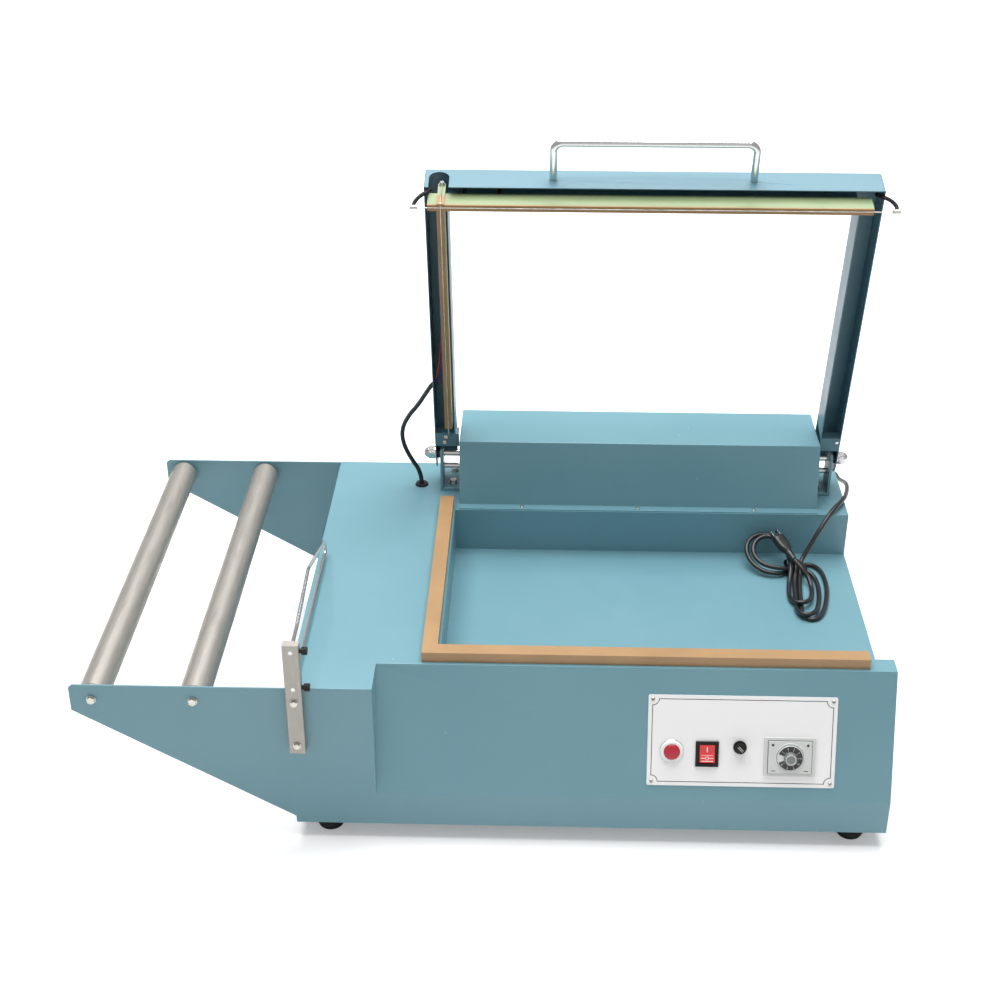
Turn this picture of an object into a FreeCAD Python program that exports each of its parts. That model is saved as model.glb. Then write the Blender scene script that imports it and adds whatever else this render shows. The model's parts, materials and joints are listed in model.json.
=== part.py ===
import FreeCAD
import Part
import math
import os

# Manual L bar film sealer: a folded steel casing with an L shaped anvil round a product tray, a sprung lid
# frame that carries the two sealing bars, a pair of film rollers on side brackets and a film guide.
# Lengths are millimetres and angles degrees. Parts are laid out on the deck: x = 0, y = 0 is the outer
# corner of the L anvil and z = 0 the deck's upper face, +X to the right, +Y to the back, +Z up.
# The last step moves everything so that the origin is on the floor under the middle of the machine.

Vector = FreeCAD.Vector

# ---------------------------------------------------------------- driving dimensions: casing
sheet = 1.5
deck_left = -161.5
deck_right = 593.5
deck_rear = 528.0
front_face_y = -60.0
fascia_top_y = -5.0
fascia_left = -57.0
casing_height = 212.0
band_height = 50.0
edge_round = 1.2

tray_left = 22.0
tray_front = 22.0
tray_rear = 384.0
tray_depth = 66.0

foot_radius = 19.0
foot_height = 24.0
foot_inset_x = 40.0
foot_inset_y = 30.0
foot_bolt_radius = 3.0
pan_left = -32.0
pan_right = 467.0
pan_front = -45.0
pan_rear = 400.0
pan_drop = 9.0
inner_flange = 16.0

# ---------------------------------------------------------------- driving dimensions: anvil
anvil_width = 19.5
anvil_height = 14.0
anvil_front_length = 560.0
anvil_left_length = 400.0
strip_width = 12.0
strip_depth = 3.0
tape = 0.3

# ---------------------------------------------------------------- driving dimensions: control panel
plate_left = 285.2
plate_down = 34.0
plate_width = 236.0
plate_height = 119.0
plate_thickness = 1.2
plate_corner = 2.0
plate_screw_inset = 5.5
plate_screw_radius = 2.6

button_x = 30.6
button_down = 73.4
button_ring_radius = 14.6
button_ring_height = 4.0
button_barrel_radius = 11.0
button_bore_radius = 10.3
button_barrel_depth = 30.0
button_cap_radius = 10.0
button_cap_height = 7.5
button_stem_radius = 3.5
button_travel = 4.0

rocker_x = 75.0
rocker_down = 76.4
rocker_frame_width = 29.0
rocker_frame_height = 33.0
rocker_flange = 2.2
rocker_body_width = 25.0
rocker_body_height = 29.5
rocker_body_depth = 30.0
rocker_width = 19.0
rocker_height = 23.5
rocker_gap = 0.8
rocker_tilt = 8.0
rocker_drum_radius = 8.0

fuse_x = 115.9
fuse_down = 66.7
fuse_flange_radius = 8.4
fuse_flange_height = 3.0
fuse_barrel_radius = 6.2
fuse_barrel_depth = 38.0
fuse_cap_radius = 6.6
fuse_cap_height = 5.5
fuse_link_radius = 2.5
fuse_link_length = 20.0
fuse_pull = 45.0

timer_x = 178.5
timer_down = 78.0
timer_flange_width = 64.5
timer_flange_height = 50.5
timer_flange = 3.0
timer_frame_width = 54.0
timer_frame_height = 42.0
timer_frame_rise = 2.0
timer_body_width = 45.0
timer_body_height = 38.0
timer_body_depth = 52.0
dial_radius = 16.5
dial_thickness = 3.0
dial_knob_radius = 7.5
dial_knob_height = 9.0
dial_stem_radius = 3.0
dial_stem_length = 8.0

# ---------------------------------------------------------------- driving dimensions: film rollers and guide
bracket_sheet = 2.0
bracket_reach = 270.5
bracket_tip_height = 38.0
bracket_root_height = 201.0
bracket_drop = 1.0
bracket_tip_chamfer = 5.0
bracket_flange = 25.0
roller_radius = 19.0
roller_wall = 1.5
roller_outer_x = -405.0
roller_inner_x = -279.0
roller_z = -22.0
roller_side_gap = 5.0
roller_cap_thickness = 3.0
roller_cap_plug = 14.0
axle_radius = 5.0
axle_screw_radius = 6.0
axle_screw_head = 4.5
axle_washer = 1.2

block_width = 20.0
block_depth = 12.0
block_top = 70.0
block_bottom = -92.0
guide_rod_radius = 2.5
guide_rod_upper = 60.0
guide_rod_lower = 6.0
guide_rod_straight = 45.0
guide_rod_knee_y = 99.0
guide_rod_knee_z = 73.0
guide_rod_tip_y = 250.0
guide_rod_tip_z = 23.0
guide_rod_out = 30.0
guide_rod_in = 6.0
thumb_head_radius = 5.0
thumb_head_length = 7.0
thumb_neck_length = 3.0
thumb_shank_radius = 2.0
block_screw_upper = -14.0
block_screw_lower = -79.0

# ---------------------------------------------------------------- driving dimensions: hinge and spring cover
hinge_y = 461.4
hinge_z = 53.4
open_angle = 76.2
shaft_radius = 5.0
cheek_left = -2.5
cheek_right = 573.5
cheek_thickness = 4.0
cheek_half = 20.4
hinge_base_length = 74.0
hinge_base_width = 46.0
hinge_bolt_x = 18.0
bush_flange_radius = 9.0
bush_flange = 1.0
bush_wall = 1.5
anchor_drop = 21.4
anchor_radius = 4.0
collar_radius = 11.0
collar_length = 16.0
collar_inset = 95.0
spring_mean_radius = 10.0
spring_wire = 3.0
spring_length = 70.0
nut_across = 17.0
nut_length = 9.0
washer_radius = 9.5
washer_thickness = 1.8

cover_left = 27.5
cover_right = 549.0
cover_front_top = 420.0
cover_front_bottom = 398.5
cover_rear = 524.0
cover_height = 93.5
cover_flange = 13.0
cover_slot_half = 30.0
cover_slot_height = 80.0
cover_screw_inset = 92.0

# ---------------------------------------------------------------- driving dimensions: lid
lid_left = -9.5
lid_right = 581.0
lid_front = -5.0
channel_width = 30.0
channel_bottom = 41.0
channel_top = 84.0
lid_corner = 4.0
inner_wall_end = 414.0
gusset_length = 24.0
gusset_lip = 15.0
gusset_overhang = 5.5
tail_length = 32.0
notch_centre = 9.5
notch_half = 13.0
notch_height = 36.0

bar_thickness = 10.0
closing_gap = 0.4
wire_radius = 0.7
tape_wrap = 3.0
front_bar_left = -4.0
front_bar_right = 564.5
left_bar_centre = 13.0
left_bar_front = -11.0
left_bar_rear = 383.0
lap_height = 48.0

terminal_reach = 21.5
terminal_radius = 3.2
terminal_length = 11.0
terminal_rise = 1.5
terminal_screw = 1.8
tension_arm_radius = 2.6

handle_span = 258.0
handle_reach = 53.0
handle_radius = 5.0
handle_bend = 12.0
handle_foot_radius = 8.0
handle_foot = 1.5
stud_radius = 4.0
stud_head = 3.0

# ---------------------------------------------------------------- driving dimensions: cables and inside
deck_cable_x = -31.9
deck_cable_y = 459.0
arm_cable_radius = 3.3
grommet_radius = 10.0
grommet_height = 3.0
cable_hole_y = 325.0
cable_hole_z = 51.0
lead_radius = 1.4
lead_z = 46.0

cord_radius = 3.3
gland_x = 530.0
gland_z = -45.0
gland_nut_radius = 11.0
gland_nut_length = 8.0
gland_boot_length = 24.0
hank_x = 518.0
hank_y = 336.0
plug_turn = 121.4

transformer_x = 330.0
transformer_y = 250.0
terminal_block_x = 140.0
terminal_block_y = 250.0

running_fit = 0.05
fit = 0.3

# ---------------------------------------------------------------- places worked out from the sizes
fold_z = -(casing_height - band_height)
fascia_run = fascia_top_y - front_face_y
fascia_lean = math.degrees(math.atan2(fascia_run, -fold_z))
tray_floor = -tray_depth
floor_z = -(casing_height + foot_height)
seal_centre = anvil_width / 2
channel_inner = channel_width - sheet
web_inner = channel_top - sheet
bar_tip = anvil_height + closing_gap + 2 * wire_radius + tape
front_bar_centre = seal_centre
handle_z = (channel_bottom + channel_top) / 2
handle_middle = (lid_left + lid_right) / 2


def box(x0, x1, y0, y1, z0, z1):
    """A rectangular block between two corners."""
    return Part.makeBox(x1 - x0, y1 - y0, z1 - z0, Vector(x0, y0, z0))


def rod_x(radius, x0, x1, y, z):
    """A round bar along X."""
    return Part.makeCylinder(radius, x1 - x0, Vector(x0, y, z), Vector(1, 0, 0))


def rod_y(radius, y0, y1, x, z):
    """A round bar along Y."""
    return Part.makeCylinder(radius, y1 - y0, Vector(x, y0, z), Vector(0, 1, 0))


def rod_z(radius, z0, z1, x, y):
    """A round bar along Z."""
    return Part.makeCylinder(radius, z1 - z0, Vector(x, y, z0), Vector(0, 0, 1))


def prism(points, along):
    """A flat outline carried straight along a vector."""
    outline = [Vector(*p) for p in points]
    return Part.Face(Part.makePolygon(outline + outline[:1])).extrude(along)


def in_yz(points, x0, x1):
    """An outline of (y, z) points between two x places."""
    return prism([(x0, y, z) for y, z in points], Vector(x1 - x0, 0, 0))


def in_xz(points, y0, y1):
    """An outline of (x, z) points between two y places."""
    return prism([(x, y0, z) for x, z in points], Vector(0, y1 - y0, 0))


def in_xy(points, z0, z1):
    """An outline of (x, y) points between two heights."""
    return prism([(x, y, z0) for x, y in points], Vector(0, 0, z1 - z0))


def fuse(shapes):
    """One solid from pieces that touch or overlap, with flush faces joined."""
    whole = shapes[0].multiFuse(shapes[1:]) if len(shapes) > 1 else shapes[0]
    return whole.removeSplitter()


def group(shapes):
    """Separate solids kept together in one node."""
    return Part.makeCompound(shapes)


def turned(profile, axis_point, axis):
    """A full revolve of a closed outline of points."""
    outline = [Vector(*p) for p in profile]
    face = Part.Face(Part.makePolygon(outline + outline[:1]))
    return face.revolve(axis_point, axis, 360)


def ring_x(inner, outer, x0, x1, y, z):
    """A tube along X."""
    return rod_x(outer, x0, x1, y, z).cut(rod_x(inner, x0 - 1, x1 + 1, y, z))


def ring_y(inner, outer, y0, y1, x, z):
    """A tube along Y."""
    return rod_y(outer, y0, y1, x, z).cut(rod_y(inner, y0 - 1, y1 + 1, x, z))


def edges_where(shape, test):
    """The straight edges of a shape whose two ends pass a test."""
    picked = []
    for edge in shape.Edges:
        ends = [v.Point for v in edge.Vertexes]
        if len(ends) == 2 and test(ends[0], ends[1]):
            picked.append(edge)
    return picked


def on_fascia(shape):
    """Moves a piece from panel axes to the leaning fascia.

    Panel axes: x along the machine, z up the slope from the fascia's top edge, -y out of the fascia.
    """
    moved = shape.copy()
    moved.rotate(Vector(0, 0, 0), Vector(1, 0, 0), -fascia_lean)
    moved.translate(Vector(0, fascia_top_y, 0))
    return moved


def opened(shape):
    """Swings a lid piece from its closed place to the open stop."""
    moved = shape.copy()
    moved.rotate(Vector(0, hinge_y, hinge_z), Vector(1, 0, 0), -open_angle)
    return moved


def panel_point(x, down):
    """Panel axes place of a control, given from the control plate's upper left corner."""
    return plate_left + x, -(plate_down + down)


# ---------------------------------------------------------------- casing
def make_deck_panel():
    """Deck, front strip, rear step and the sunk tray that is open at its right end."""
    outline = [
        (deck_left, front_face_y),
        (fascia_left, front_face_y),
        (fascia_left, fascia_top_y),
        (deck_right, fascia_top_y),
        (deck_right, deck_rear),
        (deck_left, deck_rear),
    ]
    top = in_xy(outline, -sheet, 0)
    top = top.makeFillet(
        edge_round,
        edges_where(
            top,
            lambda a, b: abs(a.z) < 1e-6
            and abs(b.z) < 1e-6
            and not (abs(a.x - deck_right) < 1e-6 and abs(b.x - deck_right) < 1e-6)
            and not (abs(a.x - fascia_left) < 1e-6 and abs(b.x - fascia_left) < 1e-6),
        ),
    )
    top = top.cut(box(tray_left, deck_right + 1, tray_front, tray_rear, -sheet - 1, 1))
    walls = [
        box(tray_left - sheet, tray_left, tray_front - sheet, tray_rear + sheet, tray_floor, -sheet / 2),
        box(tray_left - sheet, deck_right, tray_front - sheet, tray_front, tray_floor, -sheet / 2),
        box(tray_left - sheet, deck_right, tray_rear, tray_rear + sheet, tray_floor, -sheet / 2),
        box(
            tray_left - sheet,
            deck_right,
            tray_front - sheet,
            tray_rear + sheet,
            tray_floor - sheet,
            tray_floor,
        ),
    ]
    panel = fuse([top] + walls)
    panel = panel.cut(rod_z(grommet_radius - 2, -sheet - 1, 1, deck_cable_x, deck_cable_y))
    return panel


def make_front_panel():
    """Left front face, leaning fascia, its left cheek and the lower band, folded from one sheet."""
    top = -sheet
    lean = math.radians(fascia_lean)
    depth = sheet / math.cos(lean)
    back_y = front_face_y + sheet
    bottom = -casing_height
    left_face = box(deck_left, fascia_left, front_face_y, back_y, bottom, top)
    band = box(deck_left, deck_right, front_face_y, back_y, bottom, fold_z)
    band_to_fold = (front_face_y + depth, fold_z)
    fascia = in_yz(
        [
            (front_face_y, fold_z),
            band_to_fold,
            (fascia_top_y + depth, 0),
            (fascia_top_y, 0),
        ],
        fascia_left - sheet,
        deck_right,
    )
    cheek = in_yz(
        [(front_face_y, fold_z), (fascia_top_y + depth, 0), (front_face_y, 0)],
        fascia_left - sheet,
        fascia_left,
    )
    panel = fuse([left_face, band, fascia, cheek])
    panel = panel.cut(box(deck_left - 1, deck_right + 1, front_face_y - 1, tray_front, top, 5))
    flange = box(
        deck_left + sheet,
        deck_right - sheet,
        back_y - sheet / 2,
        back_y + inner_flange,
        bottom + sheet,
        bottom + 2 * sheet,
    )
    panel = fuse([panel, flange])
    for cut in panel_cuts(sheet + 2):
        panel = panel.cut(cut)
    return panel


def panel_cuts(reach):
    """The holes for the four controls, through the fascia and the control plate."""
    half = reach + plate_thickness + 1
    cuts = []
    for radius, x, down in (
        (button_barrel_radius + fit, button_x, button_down),
        (fuse_barrel_radius + fit, fuse_x, fuse_down),
    ):
        px, pz = panel_point(x, down)
        cuts.append(on_fascia(rod_y(radius, -half, half, px, pz)))
    for width, height, x, down in (
        (rocker_body_width, rocker_body_height, rocker_x, rocker_down),
        (timer_body_width, timer_body_height, timer_x, timer_down),
    ):
        px, pz = panel_point(x, down)
        half_x = width / 2 + fit
        half_z = height / 2 + fit
        cuts.append(on_fascia(box(px - half_x, px + half_x, -half, half, pz - half_z, pz + half_z)))
    return cuts


def make_casing_shell():
    """Left side, back and right side walls with their bottom flanges."""
    top = -sheet
    bottom = -casing_height
    y0 = front_face_y + sheet
    left = box(deck_left, deck_left + sheet, y0, deck_rear, bottom, top)
    back = box(deck_left, deck_right, deck_rear - sheet, deck_rear, bottom, top)
    lean = math.radians(fascia_lean)
    depth = sheet / math.cos(lean)
    right = in_yz(
        [
            (y0, bottom),
            (deck_rear, bottom),
            (deck_rear, top),
            (tray_rear + sheet, top),
            (tray_rear + sheet, tray_floor - sheet),
            (tray_front - sheet, tray_floor - sheet),
            (tray_front - sheet, top),
            (fascia_top_y + depth + top * math.tan(lean), top),
            (front_face_y + depth, fold_z),
            (y0, fold_z),
        ],
        deck_right - sheet,
        deck_right,
    )
    flange_z = bottom + sheet
    flanges = [
        box(
            deck_left + sheet / 2,
            deck_left + inner_flange,
            y0 + inner_flange,
            deck_rear - inner_flange,
            flange_z,
            flange_z + sheet,
        ),
        box(
            deck_right - inner_flange,
            deck_right - sheet / 2,
            y0 + inner_flange,
            deck_rear - inner_flange,
            flange_z,
            flange_z + sheet,
        ),
        box(
            deck_left + sheet,
            deck_right - sheet,
            deck_rear - inner_flange,
            deck_rear - sheet / 2,
            flange_z,
            flange_z + sheet,
        ),
    ]
    shell = fuse([left, back, right] + flanges)
    shell = shell.cut(rod_y(gland_nut_radius - 4, deck_rear - sheet - 1, deck_rear + 1, gland_x, gland_z))
    return shell


def foot_places():
    """Centres of the four feet."""
    xs = (deck_left + foot_inset_x, deck_right - foot_inset_x)
    ys = (front_face_y + foot_inset_y, deck_rear - foot_inset_y)
    return [(x, y) for x in xs for y in ys]


def make_bottom_plate():
    """Bottom plate with its dropped middle, inside the walls and under their flanges."""
    bottom = -casing_height
    plate = box(
        deck_left + sheet + fit,
        deck_right - sheet - fit,
        front_face_y + sheet + fit,
        deck_rear - sheet - fit,
        bottom,
        bottom + sheet,
    )
    pan = box(pan_left, pan_right, pan_front, pan_rear, bottom - pan_drop, bottom + sheet)
    hollow = box(
        pan_left + sheet,
        pan_right - sheet,
        pan_front + sheet,
        pan_rear - sheet,
        bottom - pan_drop + sheet,
        bottom + sheet + 1,
    )
    plate = fuse([plate, pan]).cut(hollow)
    for x, y in foot_places():
        plate = plate.cut(rod_z(foot_bolt_radius, bottom - 1, bottom + sheet + 1, x, y))
    return plate


def make_feet():
    """Four turned rubber feet with a sunk seat for the bolt head."""
    feet = []
    top = -casing_height
    for x, y in foot_places():
        profile = [
            (x + foot_bolt_radius, y, top),
            (x + foot_radius, y, top),
            (x + foot_radius, y, top - foot_height * 0.7),
            (x + foot_radius - 3, y, floor_z),
            (x + foot_bolt_radius * 2.2, y, floor_z),
            (x + foot_bolt_radius * 2.2, y, floor_z + foot_height * 0.4),
            (x + foot_bolt_radius, y, floor_z + foot_height * 0.4),
        ]
        feet.append(turned(profile, Vector(x, y, 0), Vector(0, 0, 1)))
    return group(feet)


# ---------------------------------------------------------------- anvil
def anvil_bar(x0, x1, y0, y1):
    """One anvil bar under its tape, with the groove for the rubber strip."""
    top = anvil_height - tape
    bar = box(x0, x1, y0, y1, 0, top)
    along_x = x1 - x0 > y1 - y0
    if along_x:
        middle = (y0 + y1) / 2
        groove = box(x0 - 1, x1 + 1, middle - strip_width / 2, middle + strip_width / 2, top - strip_depth, top + 1)
    else:
        middle = (x0 + x1) / 2
        groove = box(middle - strip_width / 2, middle + strip_width / 2, y0 - 1, y1 + 1, top - strip_depth, top + 1)
    return bar.cut(groove)


def make_anvil():
    """The two bars of the L, the rubber strips in their grooves and the tape over them."""
    top = anvil_height - tape
    low = top - strip_depth
    half = strip_width / 2
    inner = anvil_width - tape
    front = anvil_bar(0, anvil_front_length - tape, tape, inner)
    left = anvil_bar(tape, inner, anvil_width, anvil_left_length)
    strips = group(
        [
            box(0, anvil_front_length - tape, seal_centre - half, seal_centre + half, low, top),
            box(seal_centre - half, seal_centre + half, anvil_width, anvil_left_length, low, top),
        ]
    )
    tape_front = fuse(
        [
            box(0, anvil_front_length, 0, anvil_width, top, anvil_height),
            box(0, anvil_front_length, 0, tape, 0, top),
            box(anvil_width, anvil_front_length, inner, anvil_width, 0, top),
            box(anvil_front_length - tape, anvil_front_length, 0, anvil_width, 0, top),
        ]
    )
    tape_left = fuse(
        [
            box(0, anvil_width, anvil_width, anvil_left_length, top, anvil_height),
            box(0, tape, anvil_width, anvil_left_length, 0, top),
            box(inner, anvil_width, anvil_width, anvil_left_length, 0, top),
        ]
    )
    return group([front, left]), strips, group([tape_front, tape_left])


# ---------------------------------------------------------------- control panel
def make_control_plate():
    """Flat control plate on the fascia, with rounded corners and the cut-outs for the controls."""
    x0 = plate_left
    z1 = -plate_down
    plate = box(x0, x0 + plate_width, -plate_thickness, 0, z1 - plate_height, z1)
    corners = edges_where(plate, lambda a, b: abs(a.x - b.x) < 1e-6 and abs(a.z - b.z) < 1e-6)
    plate = on_fascia(plate.makeFillet(plate_corner, corners))
    for cut in panel_cuts(sheet):
        plate = plate.cut(cut)
    return plate


def screw_head(radius, height, shank_radius, shank, slot):
    """A pan head screw along -Y with its seat at y = 0, with a slot across the head."""
    profile = [
        (0, shank, 0),
        (shank_radius, shank, 0),
        (shank_radius, 0, 0),
        (radius, 0, 0),
        (radius, -height * 0.5, 0),
        (radius * 0.65, -height, 0),
        (0, -height, 0),
    ]
    screw = turned(profile, Vector(0, 0, 0), Vector(0, 1, 0))
    if slot:
        screw = screw.cut(box(-radius, radius, -height - 1, -height * 0.55, -slot / 2, slot / 2))
    return screw


def make_cover_screws():
    """Small pan head screws: four on the control plate, three on the cover's front flange."""
    screws = []
    for x in (plate_left + plate_screw_inset, plate_left + plate_width - plate_screw_inset):
        for down in (plate_screw_inset, plate_height - plate_screw_inset):
            screw = screw_head(plate_screw_radius, 1.6, 0, 0, 0)
            screw.translate(Vector(x, -plate_thickness, -(plate_down + down)))
            screws.append(on_fascia(screw))
    middle = (cover_left + cover_right) / 2
    for x in (cover_left + cover_screw_inset, middle, cover_right - cover_screw_inset):
        screw = screw_head(3.2, 2.2, 0, 0, 0)
        screw.rotate(Vector(0, 0, 0), Vector(1, 0, 0), -90)
        screw.translate(Vector(x, cover_front_bottom - cover_flange / 2, sheet))
        screws.append(screw)
    return screws


def make_bracket_screws():
    """Pan head screws that hold the roller brackets' flanges on the casing's left side."""
    screws = []
    top = -bracket_drop
    plate_inner = front_face_y + bracket_sheet
    rear_inner = deck_rear - bracket_sheet
    for y in (plate_inner + bracket_flange * 0.6, rear_inner - bracket_flange * 0.6):
        for share in (0.15, 0.5, 0.85):
            z = top - 6 - (bracket_root_height - 18) * share
            screw = screw_head(4.0, 2.4, 0, 0, 0)
            screw.rotate(Vector(0, 0, 0), Vector(0, 0, 1), -90)
            screw.translate(Vector(deck_left - bracket_sheet, y, z))
            screws.append(screw)
    return screws


def make_clean_button():
    """Push button: threaded barrel with its ring and contact block, and the moving cap."""
    x, z = panel_point(button_x, button_down)
    face = -plate_thickness
    profile = [
        (button_bore_radius, face - button_ring_height, 0),
        (button_ring_radius - 1.5, face - button_ring_height, 0),
        (button_ring_radius, face - button_ring_height * 0.4, 0),
        (button_ring_radius, face, 0),
        (button_barrel_radius, face, 0),
        (button_barrel_radius, button_barrel_depth, 0),
        (button_bore_radius, button_barrel_depth, 0),
    ]
    ring = turned(profile, Vector(0, 0, 0), Vector(0, 1, 0))
    block = box(-12, 12, button_barrel_depth, button_barrel_depth + 20, -15, 15)
    bezel = fuse([ring, block])
    bezel = bezel.cut(rod_y(button_stem_radius + fit, 0, button_barrel_depth + 10, 0, 0))
    outer = face - button_ring_height - 1.5
    cap_profile = [
        (0, outer - 0.8, 0),
        (button_cap_radius * 0.7, outer - 0.4, 0),
        (button_cap_radius - 0.8, outer, 0),
        (button_cap_radius, outer + 0.8, 0),
        (button_cap_radius, outer + button_cap_height, 0),
        (button_stem_radius, outer + button_cap_height, 0),
        (button_stem_radius, button_barrel_depth + 10 - button_travel - 1, 0),
        (0, button_barrel_depth + 10 - button_travel - 1, 0),
    ]
    cap = turned(cap_profile, Vector(0, 0, 0), Vector(0, 1, 0))
    placed = []
    for piece in (bezel, cap):
        piece.translate(Vector(x, 0, z))
        placed.append(on_fascia(piece))
    return placed


def make_power_switch():
    """Rocker switch: framed body and the two-sided rocker, pressed at its upper end at rest."""
    x, z = panel_point(rocker_x, rocker_down)
    face = -plate_thickness
    half_x = rocker_frame_width / 2
    half_z = rocker_frame_height / 2
    flange = box(-half_x, half_x, face - rocker_flange, face, -half_z, half_z)
    body = box(
        -rocker_body_width / 2,
        rocker_body_width / 2,
        face,
        face + rocker_body_depth,
        -rocker_body_height / 2,
        rocker_body_height / 2,
    )
    frame = fuse([flange, body])
    pocket_x = rocker_width / 2 + rocker_gap
    pocket_z = rocker_height / 2 + rocker_gap
    pocket_y = face - rocker_flange + rocker_drum_radius + 6
    frame = frame.cut(box(-pocket_x, pocket_x, face - rocker_flange - 1, pocket_y, -pocket_z, pocket_z))
    for side in (-1, 1):
        frame = frame.cut(rod_x(1.5 + running_fit, min(0, side * (pocket_x + 2)), max(0, side * (pocket_x + 2)), 3, 0))
    pivot_y = 3.0
    outer_y = face - rocker_flange - 0.6
    ridge = math.tan(math.radians(rocker_tilt)) * rocker_height / 2
    outline = [
        (outer_y, 0),
        (outer_y - ridge, rocker_height / 2 - 0.6),
        (outer_y - ridge + 5.0, rocker_height / 2 - 0.6),
        (pivot_y + 3.0, 3.0),
        (pivot_y + 3.0, -3.0),
        (outer_y - ridge + 5.0, -rocker_height / 2 + 0.6),
        (outer_y - ridge, -rocker_height / 2 + 0.6),
    ]
    rocker = in_yz(outline, -rocker_width / 2, rocker_width / 2)
    rocker = fuse([rocker, rod_x(1.5, -pocket_x - 1, pocket_x + 1, pivot_y, 0)])
    rocker.rotate(Vector(0, pivot_y, 0), Vector(1, 0, 0), -rocker_tilt)
    placed = []
    for piece in (frame, rocker):
        piece.translate(Vector(x, 0, z))
        placed.append(on_fascia(piece))
    return placed


def make_fuse():
    """Panel fuse holder, its slotted cap and the glass fuse that the cap carries."""
    x, z = panel_point(fuse_x, fuse_down)
    face = -plate_thickness
    bore = fuse_cap_radius - 2.2
    holder = fuse(
        [
            rod_y(fuse_flange_radius, face - fuse_flange_height, face, 0, 0),
            rod_y(fuse_barrel_radius, face, fuse_barrel_depth, 0, 0),
        ]
    )
    holder = holder.cut(rod_y(bore, face - fuse_flange_height - 1, fuse_barrel_depth - 2, 0, 0))
    cap_face = face - fuse_flange_height - fit
    neck = bore - fit
    cap = fuse(
        [
            rod_y(fuse_cap_radius, cap_face - fuse_cap_height, cap_face, 0, 0),
            rod_y(neck, cap_face, cap_face + 9, 0, 0),
        ]
    )
    cap = cap.cut(rod_y(fuse_link_radius + running_fit, cap_face + 3, cap_face + 10, 0, 0))
    slot = box(-1.0, 1.0, cap_face - fuse_cap_height - 1, cap_face - fuse_cap_height + 1.6, -4.5, 4.5)
    slot.rotate(Vector(0, 0, 0), Vector(0, 1, 0), 45)
    cap = cap.cut(slot)
    link = rod_y(fuse_link_radius, cap_face + 3, cap_face + 3 + fuse_link_length, 0, 0)
    placed = []
    for piece in (holder, cap, link):
        piece.translate(Vector(x, 0, z))
        placed.append(on_fascia(piece))
    return placed


def make_timer():
    """Plug-in timer with its flange, raised frame and body, and the dial with its knob."""
    x, z = panel_point(timer_x, timer_down)
    face = -plate_thickness
    outer = face - timer_flange
    body = fuse(
        [
            box(
                -timer_flange_width / 2,
                timer_flange_width / 2,
                outer,
                face,
                -timer_flange_height / 2,
                timer_flange_height / 2,
            ),
            box(
                -timer_frame_width / 2,
                timer_frame_width / 2,
                outer - timer_frame_rise,
                outer,
                -timer_frame_height / 2,
                timer_frame_height / 2,
            ),
            box(
                -timer_body_width / 2,
                timer_body_width / 2,
                face,
                timer_body_depth,
                -timer_body_height / 2,
                timer_body_height / 2,
            ),
        ]
    )
    front = outer - timer_frame_rise
    body = body.cut(rod_y(dial_radius + 1.2, front - 1, front + 1.0, 0, 0))
    body = body.cut(rod_y(dial_stem_radius + running_fit, front, front + dial_stem_length + 1, 0, 0))
    dial_back = front + 1.0 - fit
    profile = [
        (0, dial_back - dial_knob_height, 0),
        (dial_knob_radius - 0.8, dial_back - dial_knob_height, 0),
        (dial_knob_radius, dial_back - dial_knob_height + 0.8, 0),
        (dial_knob_radius + 0.6, dial_back - dial_thickness, 0),
        (dial_radius - 0.6, dial_back - dial_thickness, 0),
        (dial_radius, dial_back - dial_thickness + 0.6, 0),
        (dial_radius, dial_back, 0),
        (dial_stem_radius, dial_back, 0),
        (dial_stem_radius, dial_back + dial_stem_length, 0),
        (0, dial_back + dial_stem_length, 0),
    ]
    dial = turned(profile, Vector(0, 0, 0), Vector(0, 1, 0))
    pointer = box(-0.9, 0.9, dial_back - dial_knob_height - 0.6, dial_back - dial_knob_height + 0.5, 0, dial_knob_radius - 1)
    dial = fuse([dial, pointer])
    placed = []
    for piece in (body, dial):
        piece.translate(Vector(x, 0, z))
        placed.append(on_fascia(piece))
    return placed


# ---------------------------------------------------------------- film rollers
def make_roller_bracket(outer_y, inner_y):
    """Tapered side plate with its flange on the casing's left side and two axle holes."""
    tip = deck_left - bracket_reach
    top = -bracket_drop
    c = bracket_tip_chamfer
    outline = [
        (deck_left, top),
        (tip + c, top),
        (tip, top - c * 0.8),
        (tip, top - bracket_tip_height),
        (deck_left, top - bracket_root_height),
    ]
    low, high = sorted((outer_y, inner_y))
    plate = in_xz(outline, low, high)
    inward = 1 if inner_y > outer_y else -1
    edge = inner_y + inward * bracket_flange
    flange_low, flange_high = sorted((outer_y, edge))
    flange = box(
        deck_left - bracket_sheet,
        deck_left,
        flange_low,
        flange_high,
        top - bracket_root_height + 12,
        top - 6,
    )
    bracket = fuse([plate, flange])
    for x in (roller_outer_x, roller_inner_x):
        bracket = bracket.cut(rod_y(axle_radius - 1.5, low - 1, high + 1, x, roller_z))
    return bracket


def roller_span():
    """Where the rollers' tubes start and end."""
    start = front_face_y + bracket_sheet + roller_side_gap
    return start, deck_rear - bracket_sheet - roller_side_gap


def make_roller(x):
    """One free roller: a thin tube and its two end caps that turn on the axle."""
    start, end = roller_span()
    inner = roller_radius - roller_wall
    tube = ring_y(inner, roller_radius, start, end, x, roller_z)
    bore = axle_radius + running_fit
    caps = []
    for y, inward in ((start, 1), (end, -1)):
        flange = sorted((y - inward * roller_cap_thickness, y))
        plug = sorted((y, y + inward * roller_cap_plug))
        cap = fuse(
            [
                rod_y(roller_radius - 0.5, flange[0], flange[1], x, roller_z),
                rod_y(inner, plug[0], plug[1], x, roller_z),
            ]
        )
        caps.append(cap.cut(rod_y(bore, start - 20, end + 20, x, roller_z)))
    return tube, group(caps)


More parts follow.
